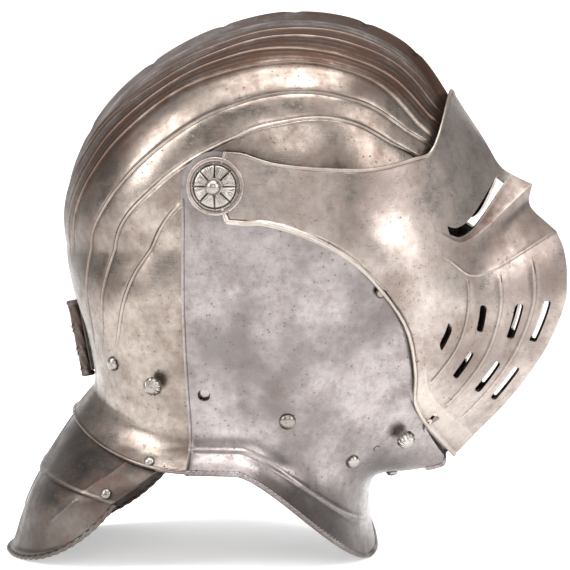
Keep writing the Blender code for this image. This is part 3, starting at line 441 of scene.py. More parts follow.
def plate(name, points, relief, thick, holes=(), bores=(), inside=(PIVOT_X, 0.0, PIVOT_Z),
          tint=None, courses=None):
    """Fine plate: half grid with its relief, mirrored, bored, then given its thickness inwards."""
    points = points + outward_grid(points, inside) * relief[:, :, None]
    points[:, -1, 1] = 0.0
    rows, columns = relief.shape
    form = bmesh.new()
    bmesh.ops.create_grid(form, x_segments=columns - 1, y_segments=rows - 1, size=1.0)
    form.verts.ensure_lookup_table()
    shade_highlight_and_wear = form.verts.layers.float.new("shade_highlight_and_wear")
    shade = form.verts.layers.float.new("shade")
    course = form.verts.layers.float.new("course")
    for j in range(rows):
        for i in range(columns):
            vert = form.verts[j * columns + i]
            vert.co = points[j, i]
            vert[shade_highlight_and_wear] = relief[j, i] * 1000
            vert[shade] = tint[j, i] if tint is not None else 0.0
            vert[course] = courses[j, i] if courses is not None else 0.0
    form.faces.ensure_lookup_table()
    cut = [form.faces[j * (columns - 1) + i] for j, i in holes]
    bmesh.ops.delete(form, geom=cut, context="FACES")
    bmesh.ops.mirror(form, geom=form.verts[:] + form.edges[:] + form.faces[:], axis="Y",
                     matrix=Matrix.Identity(4), merge_dist=0.00002)
    bmesh.ops.recalc_face_normals(form, faces=form.faces)
    for centre, outward, radius in bores:
        pierce(form, centre, outward, radius)
    form.normal_update()
    facing = sum((face.calc_center_median() - Vector(inside)).dot(face.normal) * face.calc_area()
                 for face in form.faces)
    if facing < 0:
        bmesh.ops.reverse_faces(form, faces=form.faces)
    mesh = mesh_of(name, form)
    thing = placed(name, mesh)
    wall = thing.modifiers.new("thickness", "SOLIDIFY")
    wall.thickness = thick
    wall.offset = -1.0
    wall.use_quality_normals = True
    bpy.context.view_layer.update()
    solid = bpy.data.meshes.new_from_object(
        thing.evaluated_get(bpy.context.evaluated_depsgraph_get()))
    solid.name = name
    thing.modifiers.clear()
    thing.data = solid
    bpy.data.meshes.remove(mesh)
    inside_box(solid)
    solid.shade_smooth()
    solid.set_sharp_from_angle(angle=math.radians(38))
    return thing


def old_steel(name, light, dark, stain, rust, brown=0.0, rough=0.30, rusting=0.5):
    """Hammered and polished plate, centuries old: clouds of grey oxide, rust specks and pits, fine
    scratches from cleaning, painted shade in the grooves and painted highlight on the ridges,
    partly rubbed bare steel."""
    material = bpy.data.materials.new(name)
    material.use_nodes = True
    tree = material.node_tree
    shader = tree.nodes["Principled BSDF"]
    place = add_node(tree, "TexCoord", output="Object")
    shade_highlight_and_wear = add_node(tree, "Attribute", {"attribute_name": "shade_highlight_and_wear"}, output="Fac")
    shade = add_node(tree, "Attribute", {"attribute_name": "shade"}, output="Fac")
    course = add_node(tree, "Attribute", {"attribute_name": "course"}, output="Fac")

    # Clouds of oxide some 60 mm wide, brown stains of 15 mm, mottling of 4 mm
    cloud = add_node(tree, "TexNoise", {"Scale": 15.0, "Detail": 5.0, "Roughness": 0.55},
                     {"Vector": place})
    blotch = add_node(tree, "TexNoise", {"Scale": 55.0, "Detail": 9.0, "Roughness": 0.68},
                      {"Vector": place})
    mottle = add_node(tree, "TexNoise", {"Scale": 240.0, "Detail": 6.0, "Roughness": 0.65},
                      {"Vector": place})
    clouded = add_node(tree, "MapRange", {"interpolation_type": "SMOOTHSTEP", "From Min": 0.36,
                                          "From Max": 0.66}, {"Value": cloud})
    colour = add_node(tree, "Mix", {"data_type": "RGBA", 6: linear(light), 7: linear(dark)},
                      {0: clouded}, 2)
    stained = add_node(tree, "MapRange", {"interpolation_type": "SMOOTHSTEP", "From Min": 0.48,
                                          "From Max": 0.70, "To Max": 0.38}, {"Value": blotch})
    colour = add_node(tree, "Mix", {"data_type": "RGBA", 7: linear(stain)},
                      {0: stained, 6: colour}, 2)
    mottled = add_node(tree, "MapRange", {"From Min": 0.42, "From Max": 0.72, "To Max": 0.40},
                       {"Value": mottle})
    colour = add_node(tree, "Mix", {"data_type": "RGBA", 7: linear(dark)},
                      {0: mottled, 6: colour}, 2)

    # Browning towards the comb, in fine lines that follow the flutes. The same brown paints shade
    # along the visor's top lip and between its ledges, and darkens the bevor towards its flange
    patchy = add_node(tree, "MapRange", {"From Min": 0.38, "From Max": 0.62, "To Max": brown},
                      {"Value": blotch})
    line = add_node(tree, "Math", {"operation": "MULTIPLY", 1: FINE_LINES}, {0: course})
    line = add_node(tree, "Math", {"operation": "SINE"}, {0: line})
    lined = add_node(tree, "MapRange", {"From Min": -0.2, "From Max": 1.0, "To Min": 1.0,
                                        "To Max": 0.62}, {"Value": line})
    browning_and_shade = add_node(tree, "Math", {"operation": "MULTIPLY"}, {0: shade, 1: lined})
    uneven = add_node(tree, "MapRange", {"From Min": 0.30, "From Max": 0.70, "To Min": 0.65,
                                         "To Max": 1.1}, {"Value": blotch})
    browning_and_shade = add_node(tree, "Math", {"operation": "MULTIPLY_ADD"}, {0: browning_and_shade, 1: uneven,
                                                                     2: patchy})
    browning_and_shade = add_node(tree, "Math", {"operation": "MINIMUM", 1: 0.95}, {0: browning_and_shade})
    colour = add_node(tree, "Mix", {"data_type": "RGBA", 7: linear(BROWN_PATINA_AND_SHADE)},
                      {0: browning_and_shade, 6: colour}, 2)

    # Rust in specks of a millimetre, thick only within some blotches, and pits 3 mm apart, both
    # coarser than the real ones
    speck = add_node(tree, "TexNoise", {"Scale": 900.0, "Detail": 3.0, "Roughness": 0.6},
                     {"Vector": place})
    specked = add_node(tree, "MapRange", {"From Min": 0.60, "From Max": 0.67, "To Max": rusting},
                       {"Value": speck})
    rusty = add_node(tree, "MapRange", {"From Min": 0.42, "From Max": 0.60}, {"Value": blotch})
    spots = add_node(tree, "Math", {"operation": "MULTIPLY"}, {0: specked, 1: rusty})
    colour = add_node(tree, "Mix", {"data_type": "RGBA", 7: linear(rust)}, {0: spots, 6: colour}, 2)
    cell = add_node(tree, "TexVoronoi", {"Scale": 330.0}, {"Vector": place})
    pit = add_node(tree, "MapRange", {"From Min": 0.10, "From Max": 0.20, "To Min": 1.0,
                                      "To Max": 0.0}, {"Value": cell})
    some = add_node(tree, "MapRange", {"From Min": 0.47, "From Max": 0.57, "To Max": 0.75},
                    {"Value": mottle})
    pit = add_node(tree, "Math", {"operation": "MULTIPLY"}, {0: pit, 1: some})
    colour = add_node(tree, "Mix", {"data_type": "RGBA", 7: linear(PIT_RUST)},
                      {0: pit, 6: colour}, 2)

    # Painted shade in the grooves, painted highlight on the ridges, partly rubbed bare steel
    groove = add_node(tree, "MapRange", {"From Min": -0.08, "From Max": -0.45, "To Max": 0.80},
                      {"Value": shade_highlight_and_wear})
    colour = add_node(tree, "Mix", {"data_type": "RGBA", 7: linear(PAINTED_GROOVE_SHADE)},
                      {0: groove, 6: colour}, 2)
    ridge_highlight_and_rub = add_node(tree, "MapRange", {"From Min": 0.18, "From Max": 0.55, "To Max": 0.35},
                     {"Value": shade_highlight_and_wear})
    colour = add_node(tree, "Mix", {"data_type": "RGBA", 7: linear(RIDGE_HIGHLIGHT_AND_RUB)},
                      {0: ridge_highlight_and_rub, 6: colour}, 2)
    tree.links.new(colour, shader.inputs["Base Color"])

    # Polishing scratches a third of a millimetre apart, coarser than the real ones so that they
    # show, and smoother where the steel is bare
    turned = add_node(tree, "Mapping", {"Rotation": (0.4, 0.9, 0.2), "Scale": (60.0, 60.0, 3000.0)},
                      {"Vector": place})
    scratch = add_node(tree, "TexNoise", {"Scale": 1.0, "Detail": 3.0, "Roughness": 0.7},
                       {"Vector": turned})
    dull = add_node(tree, "MapRange", {"From Min": 0.40, "From Max": 0.66, "To Min": rough,
                                       "To Max": rough + 0.16}, {"Value": blotch})
    streak = add_node(tree, "MapRange", {"From Min": 0.35, "From Max": 0.75, "To Min": -0.03,
                                         "To Max": 0.05}, {"Value": scratch})
    roughness = add_node(tree, "Math", {"operation": "ADD"}, {0: dull, 1: streak})
    dirt = add_node(tree, "Math", {"operation": "ADD"}, {0: spots, 1: pit})
    roughness = add_node(tree, "Math", {"operation": "MULTIPLY_ADD", 1: 0.35},
                         {0: dirt, 2: roughness})
    roughness = add_node(tree, "Math", {"operation": "MULTIPLY_ADD", 1: 0.20},
                         {0: browning_and_shade, 2: roughness})
    tree.links.new(roughness, shader.inputs["Roughness"])
    metallic = add_node(tree, "Math", {"operation": "MULTIPLY_ADD", 1: -0.7, 2: 1.0}, {0: dirt})
    tree.links.new(metallic, shader.inputs["Metallic"])

    # Hammer marks some 25 mm wide, scratches and pits
    dent = add_node(tree, "TexNoise", {"Scale": 40.0, "Detail": 2.0, "Roughness": 0.4},
                    {"Vector": place})
    normal = add_node(tree, "Bump", {"Strength": 0.30, "Distance": 0.0010}, {"Height": dent})
    skin = add_node(tree, "Math", {"operation": "MULTIPLY_ADD", 1: 0.30}, {0: scratch, 2: mottle})
    normal = add_node(tree, "Bump", {"Strength": 0.30, "Distance": 0.0002},
                      {"Height": skin, "Normal": normal})
    normal = add_node(tree, "Bump", {"Strength": 0.6, "Distance": 0.0002, "invert": True},
                      {"Height": pit, "Normal": normal})
    tree.links.new(normal, shader.inputs["Normal"])
    return material


def flute_rows():
    """Grid of the skull: columns gather along the flutes, with the relief of each."""
    downs = [k / 96 for k in range(96)] + [1 + k / 52 for k in range(53)]
    points, relief, tint, courses = [], [], [], []
    for v in downs:
        knots = []
        for k, flute in enumerate(FLUTES):
            knot = min(max(curve_at(flute, v), (knots[-1] if knots else 0.0) + 0.018),
                       0.988 - 0.018 * (len(FLUTES) - 1 - k) * 0.5)
            knots.append(knot)
        ends = [0.0] + knots + [1.0]
        scales = [(skull_point(min(k + 0.004, 1.0), v) - skull_point(k - 0.004, v)).length / 0.008
                  for k in knots]
        lows, highs, fits = [], [], []
        for k, (knot, scale) in enumerate(zip(knots, scales)):
            room = min(knot - ends[k], ends[k + 2] - knot) * scale
            fit = min(1.0, room * 0.42 / FLUTE_STEPS[-1])
            fits.append(fit)
            lows.append(knot + FLUTE_STEPS[0] * fit / scale)
            highs.append(knot + FLUTE_STEPS[-1] * fit / scale)
        starts = [0.0] + highs
        stops = lows + [1.0]
        columns, lift = [], []
        for k in range(len(ends) - 1):
            count = FLUTE_FILLS[k]
            for i in range(count + 1):
                if k > 0 and i == 0:
                    continue
                if k < len(knots) and i == count:
                    continue
                columns.append(starts[k] + (stops[k] - starts[k]) * i / count)
                lift.append(0.0)
            if k < len(knots):
                first, last = FLUTES[k][0][0], FLUTES[k][-1][0]
                strength = ramp(v, first - 0.01, first + 0.05) if first > 0.03 else 1.0
                strength *= 1 - ramp(v, last - 0.09, last + 0.01)
                strength *= fits[k] ** 0.7
                for step in FLUTE_STEPS:
                    place = knots[k] + step * fits[k] / scales[k]
                    columns.append(place)
                    bead = FLUTE_RISE * bell(step, FLUTE_BEAD)
                    side = FLUTE_GROOVE * bell(abs(step) - FLUTE_SIDE, FLUTE_GAP)
                    lift.append(strength * (bead - side))
        row = [skull_point(u, v) for u in columns]
        angle = BROW_ANGLE + (NAPE_ANGLE - BROW_ANGLE) * v
        heights = []
        for u, point, rise in zip(columns, row, lift):
            beside = abs(point.y)
            near = ramp(beside, COMB_HALF * 1.6, COMB_HALF * 0.7) if v < 1 else 0.0
            reach = math.hypot(point.x - PIVOT_X, point.z - PIVOT_Z)
            cut = 0.0
            for notch in COMB_NOTCHES:
                away = math.radians(angle - notch) * reach - beside * 0.8
                cut += NOTCH_DEPTH * bell(away, NOTCH_WIDTH)
            crease = bell(off_line(point, SKULL_CREASE), CREASE_WIDTH) if v > 1.5 else 0.0
            heights.append(rise - cut * near + CREASE_RISE * crease)
        # The relief also paints highlight on the beads and crease, shade in the grooves and notches
        points.append([list(point) for point in row])
        relief.append(heights)
        inner = [ramp(u, curve_at(FLUTES[2], v) + 0.02, curve_at(FLUTES[4], v))
                 * (1 - ramp(v, 0.82, 1.02)) * COMB_BROWNING for u in columns]
        tint.append(inner)
        courses.append(list(np.interp(columns, ends, range(len(ends)))))
    return np.array(points), np.array(relief), np.array(tint), np.array(courses)


skull_steel = old_steel("skull_patinated_steel", "999088", "625953", "614B3F", "5A3626", 0.22, 0.24)
skull_points, skull_relief, skull_tint, skull_courses = flute_rows()
skull = plate("skull_plate", skull_points, skull_relief, SKULL_PLATE, tint=skull_tint,
              courses=skull_courses)
finish(skull, "skull", ["skull"], skull_steel)

# Visor: one heavy plate beaten out to a keeled muzzle, its face folded into two sharp ledges under
# the sight, with a rolled lower border, engraved bands and pierced breaths. It turns on the pivots.
BEVOR_PLATE, VISOR_PLATE, LAME_PLATE = 0.0018, 0.0020, 0.0014
BEVOR_HALF_WIDTH = SKULL_HALF_WIDTH + PLATE_GAP + BEVOR_PLATE
VISOR_HALF_WIDTH = BEVOR_HALF_WIDTH + PLATE_GAP + VISOR_PLATE
FACE = (
    {"angle": -60, "reach": 1.015, "full": 2.40, "round": 1.00},
    {"angle": -53, "reach": 1.005, "full": 2.40, "round": 1.00},
    {"angle": -42, "reach": 0.995, "full": 2.40, "round": 1.00},
    {"angle": -35, "reach": 0.983, "full": 2.40, "round": 1.00},
    {"angle": -28, "reach": 0.946, "full": 2.40, "round": 1.00},
    {"angle": -21, "reach": 0.889, "full": 2.40, "round": 1.00},
    {"angle": -14, "reach": 0.818, "full": 2.40, "round": 1.05},
    {"angle": -7, "reach": 0.768, "full": 2.35, "round": 1.15},
    {"angle": 0, "reach": 0.734, "full": 2.30, "round": 1.30},
    {"angle": 9, "reach": 0.700, "full": 2.25, "round": 1.55},
    {"angle": 24, "reach": 0.646, "full": 2.20, "round": 1.90},
)
VISOR_EDGES = (
    {"out": 0.00, "top": 77.0, "low": -76.0}, {"out": 0.05, "top": 44.0, "low": -45.0},
    {"out": 0.12, "top": 25.0, "low": -33.5}, {"out": 0.22, "top": 15.0, "low": -29.2},
    {"out": 0.36, "top": 9.4, "low": -29.2}, {"out": 0.51, "top": 6.9, "low": -34.0},
    {"out": 0.62, "top": 7.2, "low": -38.8}, {"out": 0.72, "top": 8.2, "low": -45.6},
    {"out": 0.795, "top": 9.3, "low": -50.9}, {"out": 1.00, "top": 23.4, "low": -53.1},
)
# Lines across the face, lower edge first; the second to fourth breaks are the sharp ledges
VISOR_LINES = (
    {"angle": -53.1, "reach": 1.007, "side": -50.9, "keel": 1.0},
    {"angle": -48.2, "reach": 0.997, "side": -46.4, "keel": 1.0},
    {"angle": -41.0, "reach": 0.997, "side": -41.0, "keel": 1.0},
    {"angle": -33.8, "reach": 0.998, "side": -35.2, "keel": 1.0},
    {"angle": -28.4, "reach": 0.999, "side": -31.2, "keel": 1.0},
    {"angle": -20.4, "reach": 0.991, "side": -26.4, "keel": 1.0},
    {"angle": -15.6, "reach": 0.967, "side": -24.0, "keel": 1.0},
    {"angle": -12.0, "reach": 0.941, "side": -22.4, "keel": 1.0},
    {"angle": -9.4, "reach": 0.912, "side": -21.0, "keel": 1.0},
    {"angle": -5.4, "reach": 0.829, "side": -17.6, "keel": 1.0},
    {"angle": -1.0, "reach": 0.829, "side": -14.4, "keel": 1.0},
    {"angle": 1.2, "reach": 0.768, "side": -13.2, "keel": 1.0},
    {"angle": 3.4, "reach": 0.734, "side": -9.6, "keel": 0.8},
    {"angle": 9.0, "reach": 0.702, "side": -3.6, "keel": 0.4},
    {"angle": 16.4, "reach": 0.668, "side": 3.4, "keel": 0.15},
    {"angle": 23.4, "reach": 0.647, "side": 9.3, "keel": 0.0},
)
BAND_LINE, LOW_FOOT, LOW_HEAD, HIGH_FOOT, HIGH_HEAD = 1, 2, 3, 4, 5
LEDGE_TWO, LEDGE_ONE, SIGHT_FOOT = 8, 10, 11
VISOR_BREAKS = (0, LEDGE_TWO, LEDGE_ONE, 15)
FADE_OUT, KEEL_BULGE = 0.795, 1.12
SIGHT_START, SIGHT_END, SIGHT_TOP = 0.760, 0.976, 11.60
SLOT_HALF = 0.0090
SLOTS = ((0.735, False), (0.825, True), (0.905, True), (0.960, True))
BANDS = (0.780, 0.866, 0.933)
BAND_HALF, BAND_RISE, BAND_CUT = 0.0040, 0.00035, 0.00030
BORDER_RISE, BORDER_HALF = 0.0009, 0.0014
LIP_RISE, LIP_HALF = 0.0008, 0.0012
LEDGE_SHADE, LIP_SHADE = 0.75, 0.75
LEDGE_RISE, LEDGE_WIDTH, CHIN_BAND_RISE = 0.0003, 0.0010, 0.0006
SLOT_ROUNDING, SLOT_END = 0.0012, 0.55


def section(table, reach, angle, out, half):
    """Point of a head surface: out is the share of the way from the pivot disc to the middle."""
    edge = reach * smooth(table, "reach", angle, "angle")
    full = smooth(table, "full", angle, "angle")
    rounding = smooth(table, "round", angle, "angle")
    x, z = polar(angle, FLAT_RADIUS + (edge - FLAT_RADIUS) * out)
    return Vector((x, -half * max(0.0, 1 - out ** full) ** (1 / rounding), z))


def visor_edge(column, out):
    return smooth(VISOR_EDGES, column, out, "out")


def visor_line(t):
    """Line of the face between those of the table, smooth except at the ledges."""
    first = max(place for place in VISOR_BREAKS[:-1] if place <= t)
    last = VISOR_BREAKS[VISOR_BREAKS.index(first) + 1]
    rows = VISOR_LINES[first:last + 1]
    return {key: spline([row[key] for row in rows], (t - first) / (last - first))
            for key in ("angle", "reach", "side", "keel")}


def visor_cheek(line, out):
    """Visor surface between the pivot and the place where its ledges run out."""
    span = visor_edge("top", FADE_OUT) - visor_edge("low", FADE_OUT)
    share = (line["side"] - visor_edge("low", FADE_OUT)) / span
    low, top = visor_edge("low", out), visor_edge("top", out)
    return section(FACE, FACE_REACH, low + share * (top - low), out, VISOR_HALF_WIDTH)


def visor_point(t, out):
    line = visor_line(t)
    if out < 0:
        rim = visor_cheek(line, 0.0)
        return Vector((PIVOT_X + (rim.x - PIVOT_X) * (1 + out), rim.y,
                       PIVOT_Z + (rim.z - PIVOT_Z) * (1 + out)))
    if out <= FADE_OUT:
        return visor_cheek(line, out)
    step = 0.004
    side = visor_cheek(line, FADE_OUT)
    side_way = (visor_cheek(line, FADE_OUT - step) - side) / step * (1 - FADE_OUT)
    x, z = polar(line["angle"], FACE_REACH * line["reach"])
    middle = Vector((x, 0.0, z))
    chord = side - middle
    keeled = Vector((chord.x, chord.y * KEEL_BULGE, chord.z))
    middle_way = keeled * line["keel"] + Vector((0.0, -chord.length, 0.0)) * (1 - line["keel"])
    along = (1 - out) / (1 - FADE_OUT)
    return ((1 + 2 * along) * (1 - along) ** 2 * middle + along * (1 - along) ** 2 * middle_way
            + along * along * (3 - 2 * along) * side + along * along * (along - 1) * side_way)


def visor_columns():
    """Shares of the way out, gathered at the slots' edges and at the engraved bands."""
    even = [-0.8, -0.55, -0.3, -0.12] + [k / 30 for k in range(22)] + [0.70, 0.715]
    even += [0.757, 0.7635, 0.8005, 0.808, 0.842, 0.849, 0.884, 0.888, 0.919, 0.946, 0.972]
    even += [SIGHT_END, 0.9785, 0.986, 0.991, 0.995, 0.998, 1.0]
    for out, _ in SLOTS:
        even += [out + SLOT_HALF * share for share in (-1.0, -0.5, 0.0, 0.5, 1.0)]
    for out in BANDS:
        even += [out + BAND_HALF * share for share in (-1.9, -1.4, -1.0, -0.6, 0.0, 0.6, 1.0, 1.4,
                                                       1.9)]
    return sorted(even)


def visor_downs():
    """Places down the face as (line, share to the next, metres past the line)."""
    counts = (6, 9, 9, 7, 10, 6, 5, 5, 7, 6, 6, 3, 8, 8, 9)
    rows = []
    for k, count in enumerate(counts):
        rows += [(k, i / count, 0.0) for i in range(count)]
    rows = [row for row in rows if row[:2] != (0, 0) and not (row[0] == 0 and row[1] < 0.4)]
    rows += [(0, 0.0, step * 0.0004) for step in range(11)]
    rows += [(15, 0.0, -step * 0.0004) for step in range(7)]
    for k in (LOW_FOOT, LOW_HEAD, HIGH_FOOT, HIGH_HEAD, LEDGE_TWO, LEDGE_ONE, BAND_LINE):
        rows += [(k, 0.0, step * 0.0005) for step in (-2, -1, 1, 2)]
    return rows


def visor_grid():
    columns, downs = visor_columns(), visor_downs()
    grid, spacing = [], []
    for out in columns:
        marks = [visor_point(k, max(out, 0.0)) for k in range(16)]
        gaps = [(marks[k + 1] - marks[k]).length for k in range(15)]
        places = []
        for k, share, past in downs:
            gap = gaps[min(k, 14)] if past >= 0 else gaps[k - 1]
            places.append(min(max(k + share + max(min(past / gap, 0.45), -0.45), 0.0), 15.0))
        grid.append(sorted(places))
        spacing.append(gaps)
    rows = len(downs)
    points = np.zeros((rows, len(columns), 3))
    relief = np.zeros((rows, len(columns)))
    tint = np.zeros((rows, len(columns)))
    places = np.array(grid).T
    for i, out in enumerate(columns):
        gaps = spacing[i]
        front = ramp(out, 0.70, 0.76)
        for j in range(rows):
            t = places[j, i]
            shift = 0.0
            for slot, high in SLOTS:
                if abs(out - slot) <= SLOT_HALF * 1.001:
                    ends = [LOW_FOOT, LOW_HEAD] + ([HIGH_FOOT, HIGH_HEAD] if high else [])
                    near = min(abs(t - k) * gaps[k] for k in ends)
                    pinch = min(near / SLOT_ROUNDING, 1.0)
                    shift = (slot - out) * (1 - max(SLOT_END, (1 - (1 - pinch) ** 2) ** 0.5))
            points[j, i] = visor_point(t, out + shift)
            low = t * gaps[0] if t < 1 else 1.0
            top = (15 - t) * gaps[14] if t > 14 else 1.0
            lift = BORDER_RISE * max(0.0, 1 - ((low - BORDER_HALF) / BORDER_HALF) ** 2) ** 0.5
            lift -= 0.0004 * bell(low - 2.5 * BORDER_HALF, 0.0005)
            lift += LIP_RISE * max(0.0, 1 - ((top - LIP_HALF) / LIP_HALF) ** 2) ** 0.5
            lift += CHIN_BAND_RISE * front * (1 - ramp((t - 1) * gaps[0], -0.0006, 0.0006))
            for ledge in (LEDGE_TWO, LEDGE_ONE):
                lift += LEDGE_RISE * front * bell((t - ledge) * gaps[ledge], LEDGE_WIDTH)
            face = ramp(t, 1.0, 1.2) * (1 - ramp(t, 6.2, 7.4))
            for band in BANDS:
                beside = abs(out - band) / BAND_HALF
                lift += face * BAND_RISE * (1 - ramp(beside, 0.6, 1.0))
                lift -= face * BAND_CUT * bell(beside - 1.2, 0.28)
            # The relief also paints highlights on the raised parts and shade in the grooves
            relief[j, i] = lift
            # Painted shade along the top lip and on the faces between the ledges under the sight
            tint[j, i] = LIP_SHADE * (1 - ramp(top, 2 * LIP_HALF, 2.4 * LIP_HALF))
            folded = ramp(out, 0.70, 0.80)
            if LEDGE_ONE < t < SIGHT_FOOT:
                tint[j, i] = LEDGE_SHADE * folded
            elif LEDGE_TWO < t <= LEDGE_ONE:
                tint[j, i] = 0.5 * LEDGE_SHADE * folded
    holes = []
    for i in range(len(columns) - 1):
        middle = (columns[i] + columns[i + 1]) / 2
        cuts = []
        if SIGHT_START < middle < SIGHT_END:
            cuts.append((SIGHT_FOOT, SIGHT_TOP))
        for slot, high in SLOTS:
            if abs(middle - slot) < SLOT_HALF:
                cuts.append((LOW_FOOT, LOW_HEAD))
                if high:
                    cuts.append((HIGH_FOOT, HIGH_HEAD))
        for j in range(rows - 1):
            t = (places[j, i] + places[j + 1, i]) / 2
            holes += [(j, i) for first, last in cuts if first < t < last]
    return points, relief, holes, tint


# Bevor: the front plate under the visor, closing chin and throat, with a flange for the gorget
# whose crease is raised and painted bright, partly polish and partly painted highlight. It hangs
# on the same pivots, and the visor's stud locks in it.
BEVOR_INSET = VISOR_PLATE + 0.0016
FACE_EASE = 0.0004
SKULL_EDGE_ROOM = 0.0045
BEVOR_TOP = ((-0.096, -0.005), (0.100, -0.040), (0.276, -0.050), (0.460, -0.155),
             (0.535, -0.310), (0.585, -0.535))
BEVOR_BORDER = ((-0.096, -0.100), (0.135, -0.104), (0.325, -0.178), (0.458, -0.312),
                (0.515, -0.525), (0.525, -0.664))
BEVOR_TOP_END, BEVOR_BORDER_END = -48.0, -53.4
BEVOR_ROWS = (
    {"side": 0.160, "x": 0.5754, "z": 0.0548, "full": 2.40, "round": 1.10, "drop": 2.40},
    {"side": 0.130, "x": 0.4793, "z": 0.0503, "full": 2.30, "round": 1.40, "drop": 2.20},
    {"side": 0.105, "x": 0.4079, "z": 0.0490, "full": 2.20, "round": 1.80, "drop": 2.00},
    {"side": 0.088, "x": 0.3709, "z": 0.0450, "full": 2.20, "round": 2.00, "drop": 1.80},
    {"side": 0.080, "x": 0.3586, "z": 0.0360, "full": 2.25, "round": 2.00, "drop": 1.60},
    {"side": 0.073, "x": 0.3576, "z": 0.0260, "full": 2.35, "round": 2.00, "drop": 1.40},
    {"side": 0.066, "x": 0.3635, "z": 0.0130, "full": 2.50, "round": 2.00, "drop": 1.40},
    {"side": 0.059, "x": 0.3744, "z": -0.0004, "full": 2.60, "round": 2.00, "drop": 1.45},
)
BEVOR_BORDER_SHARE = 3 / 11
BEVOR_CREASE = 6.45 / 8
BEVOR_CREASE_RISE, BEVOR_CREASE_DIP = 0.00045, 0.00018
SEAM_RISE, SEAM_WIDTH, SEAM_GROOVE, SEAM_GROOVE_WIDTH = 0.0004, 0.0006, 0.0014, 0.0004


def bevor_path(table, end_angle, u):
    """Side view of one of the bevor's upper rows, ending on the middle line."""
    x, z = polar(end_angle, FACE_REACH * smooth(FACE, "reach", end_angle, "angle") - BEVOR_INSET)
    points = [Vector((PIVOT_X + place[0] * FACE_REACH, 0.0, PIVOT_Z + place[1] * FACE_REACH))
              for place in table] + [Vector((x, 0.0, z))]
    return spline(points, u)


def bevor_face_point(u, v):
    """Upper bevor, hidden by the visor: v runs from its top edge to the visor's border."""
    top = bevor_path(BEVOR_TOP, BEVOR_TOP_END, u)
    place = top + (bevor_path(BEVOR_BORDER, BEVOR_BORDER_END, u) - top) * v
    half = depth(FACE, FACE_REACH, place.x, place.z, BEVOR_HALF_WIDTH, BEVOR_INSET)
    away = math.hypot(place.x - PIVOT_X, place.z - PIVOT_Z) / FLAT_RADIUS - 1
    ease = FACE_EASE * min(max(away, 0.0), 1.0)
    return Vector((place.x, -max(half - ease, 0.0) if u < 1 else 0.0, place.z))


def bevor_neck_point(u, v):
    """Open bevor: v runs from the visor's border down over jaw and throat to the flange."""
    above = [bevor_face_point(u, 0.55), bevor_face_point(u, 1.0)]
    bow = 1 - (1 - u) ** 1.35
    below = [row_point(row, FACE_REACH, SEAM_X, skull_front_x(row["side"]) + SKULL_EDGE_ROOM, bow,
                       PLATE_GAP + BEVOR_PLATE) for row in BEVOR_ROWS]
    points = above + below
    return spline(points, (1 + v * len(below)) / (len(points) - 1))


def bevor_point(u, v):
    """Whole bevor: v runs from its top edge over the visor's border down to the flange."""
    if v < BEVOR_BORDER_SHARE:
        return bevor_face_point(u, v / BEVOR_BORDER_SHARE)
    return bevor_neck_point(u, (v - BEVOR_BORDER_SHARE) / (1 - BEVOR_BORDER_SHARE))


def bevor_grid():
    across = [0.0, 0.0012, 0.0025, 0.0038, 0.0052, 0.0068, 0.0085, 0.0105, 0.0135]
    across += [math.sin(math.pi / 2 * k / 84) for k in range(1, 85)]
    downs = [BEVOR_BORDER_SHARE * k / 14 for k in range(14)]
    downs += [BEVOR_BORDER_SHARE + (1 - BEVOR_BORDER_SHARE) * k / 84 for k in range(85)]
    points, relief, tint = [], [], []
    for v in downs:
        neck = (v - BEVOR_BORDER_SHARE) / (1 - BEVOR_BORDER_SHARE)
        row = [bevor_point(u, v) for u in across]
        points.append([list(point) for point in row])
        crease = (BEVOR_CREASE_RISE * bell((neck - BEVOR_CREASE) * 84 + 2.2, 1.2)
                  - BEVOR_CREASE_DIP * bell((neck - BEVOR_CREASE) * 84, 1.1))
        offs = [(point - row[0]).length for point in row]
        # The crease and the seam's rise paint highlight, their dip and groove paint shade
        relief.append([crease + SEAM_RISE * bell(off, SEAM_WIDTH)
                       - SEAM_RISE * bell(off - SEAM_GROOVE, SEAM_GROOVE_WIDTH) for off in offs])
        tint.append([0.20 * ramp(neck, 0.8, 1.0) for _ in across])
    return np.array(points), np.array(relief), np.array(tint)


# Seats: places on the plates for their fittings, given in the side view as shares of a reach from
# the pivots, with the way out of the helmet there.
def outward_at(point_of, u, v, step=0.002):
    along = point_of(min(u + step, 1.0), v) - point_of(max(u - step, 0.0), v)
    across = point_of(u, min(v + step, 1.0)) - point_of(u, max(v - step, 0.0))
    normal = along.cross(across).normalized()
    return -normal if point_of(1.0, v).x > point_of(0.0, v).x else normal


def seat(point_of, x, z):
    """Point of a plate at a place of the side view, with the way out of the helmet there."""
    best, centre, span = None, (0.5, 0.5), 0.5
    for _ in range(9):
        for i in range(-4, 5):
            for j in range(-4, 5):
                u = min(max(centre[0] + span * i / 4, 0.0), 1.0)
                v = min(max(centre[1] + span * j / 4, 0.0), 1.0)
                point = point_of(u, v)
                miss = math.hypot(point.x - x, point.z - z)
                if best is None or miss < best[0]:
                    best = (miss, u, v, point)
        centre, span = (best[1], best[2]), span * 0.45
    return best[3], outward_at(point_of, best[1], best[2])


def seat_at(point_of, reach, place):
    return seat(point_of, PIVOT_X + place[0] * reach, PIVOT_Z + place[1] * reach)


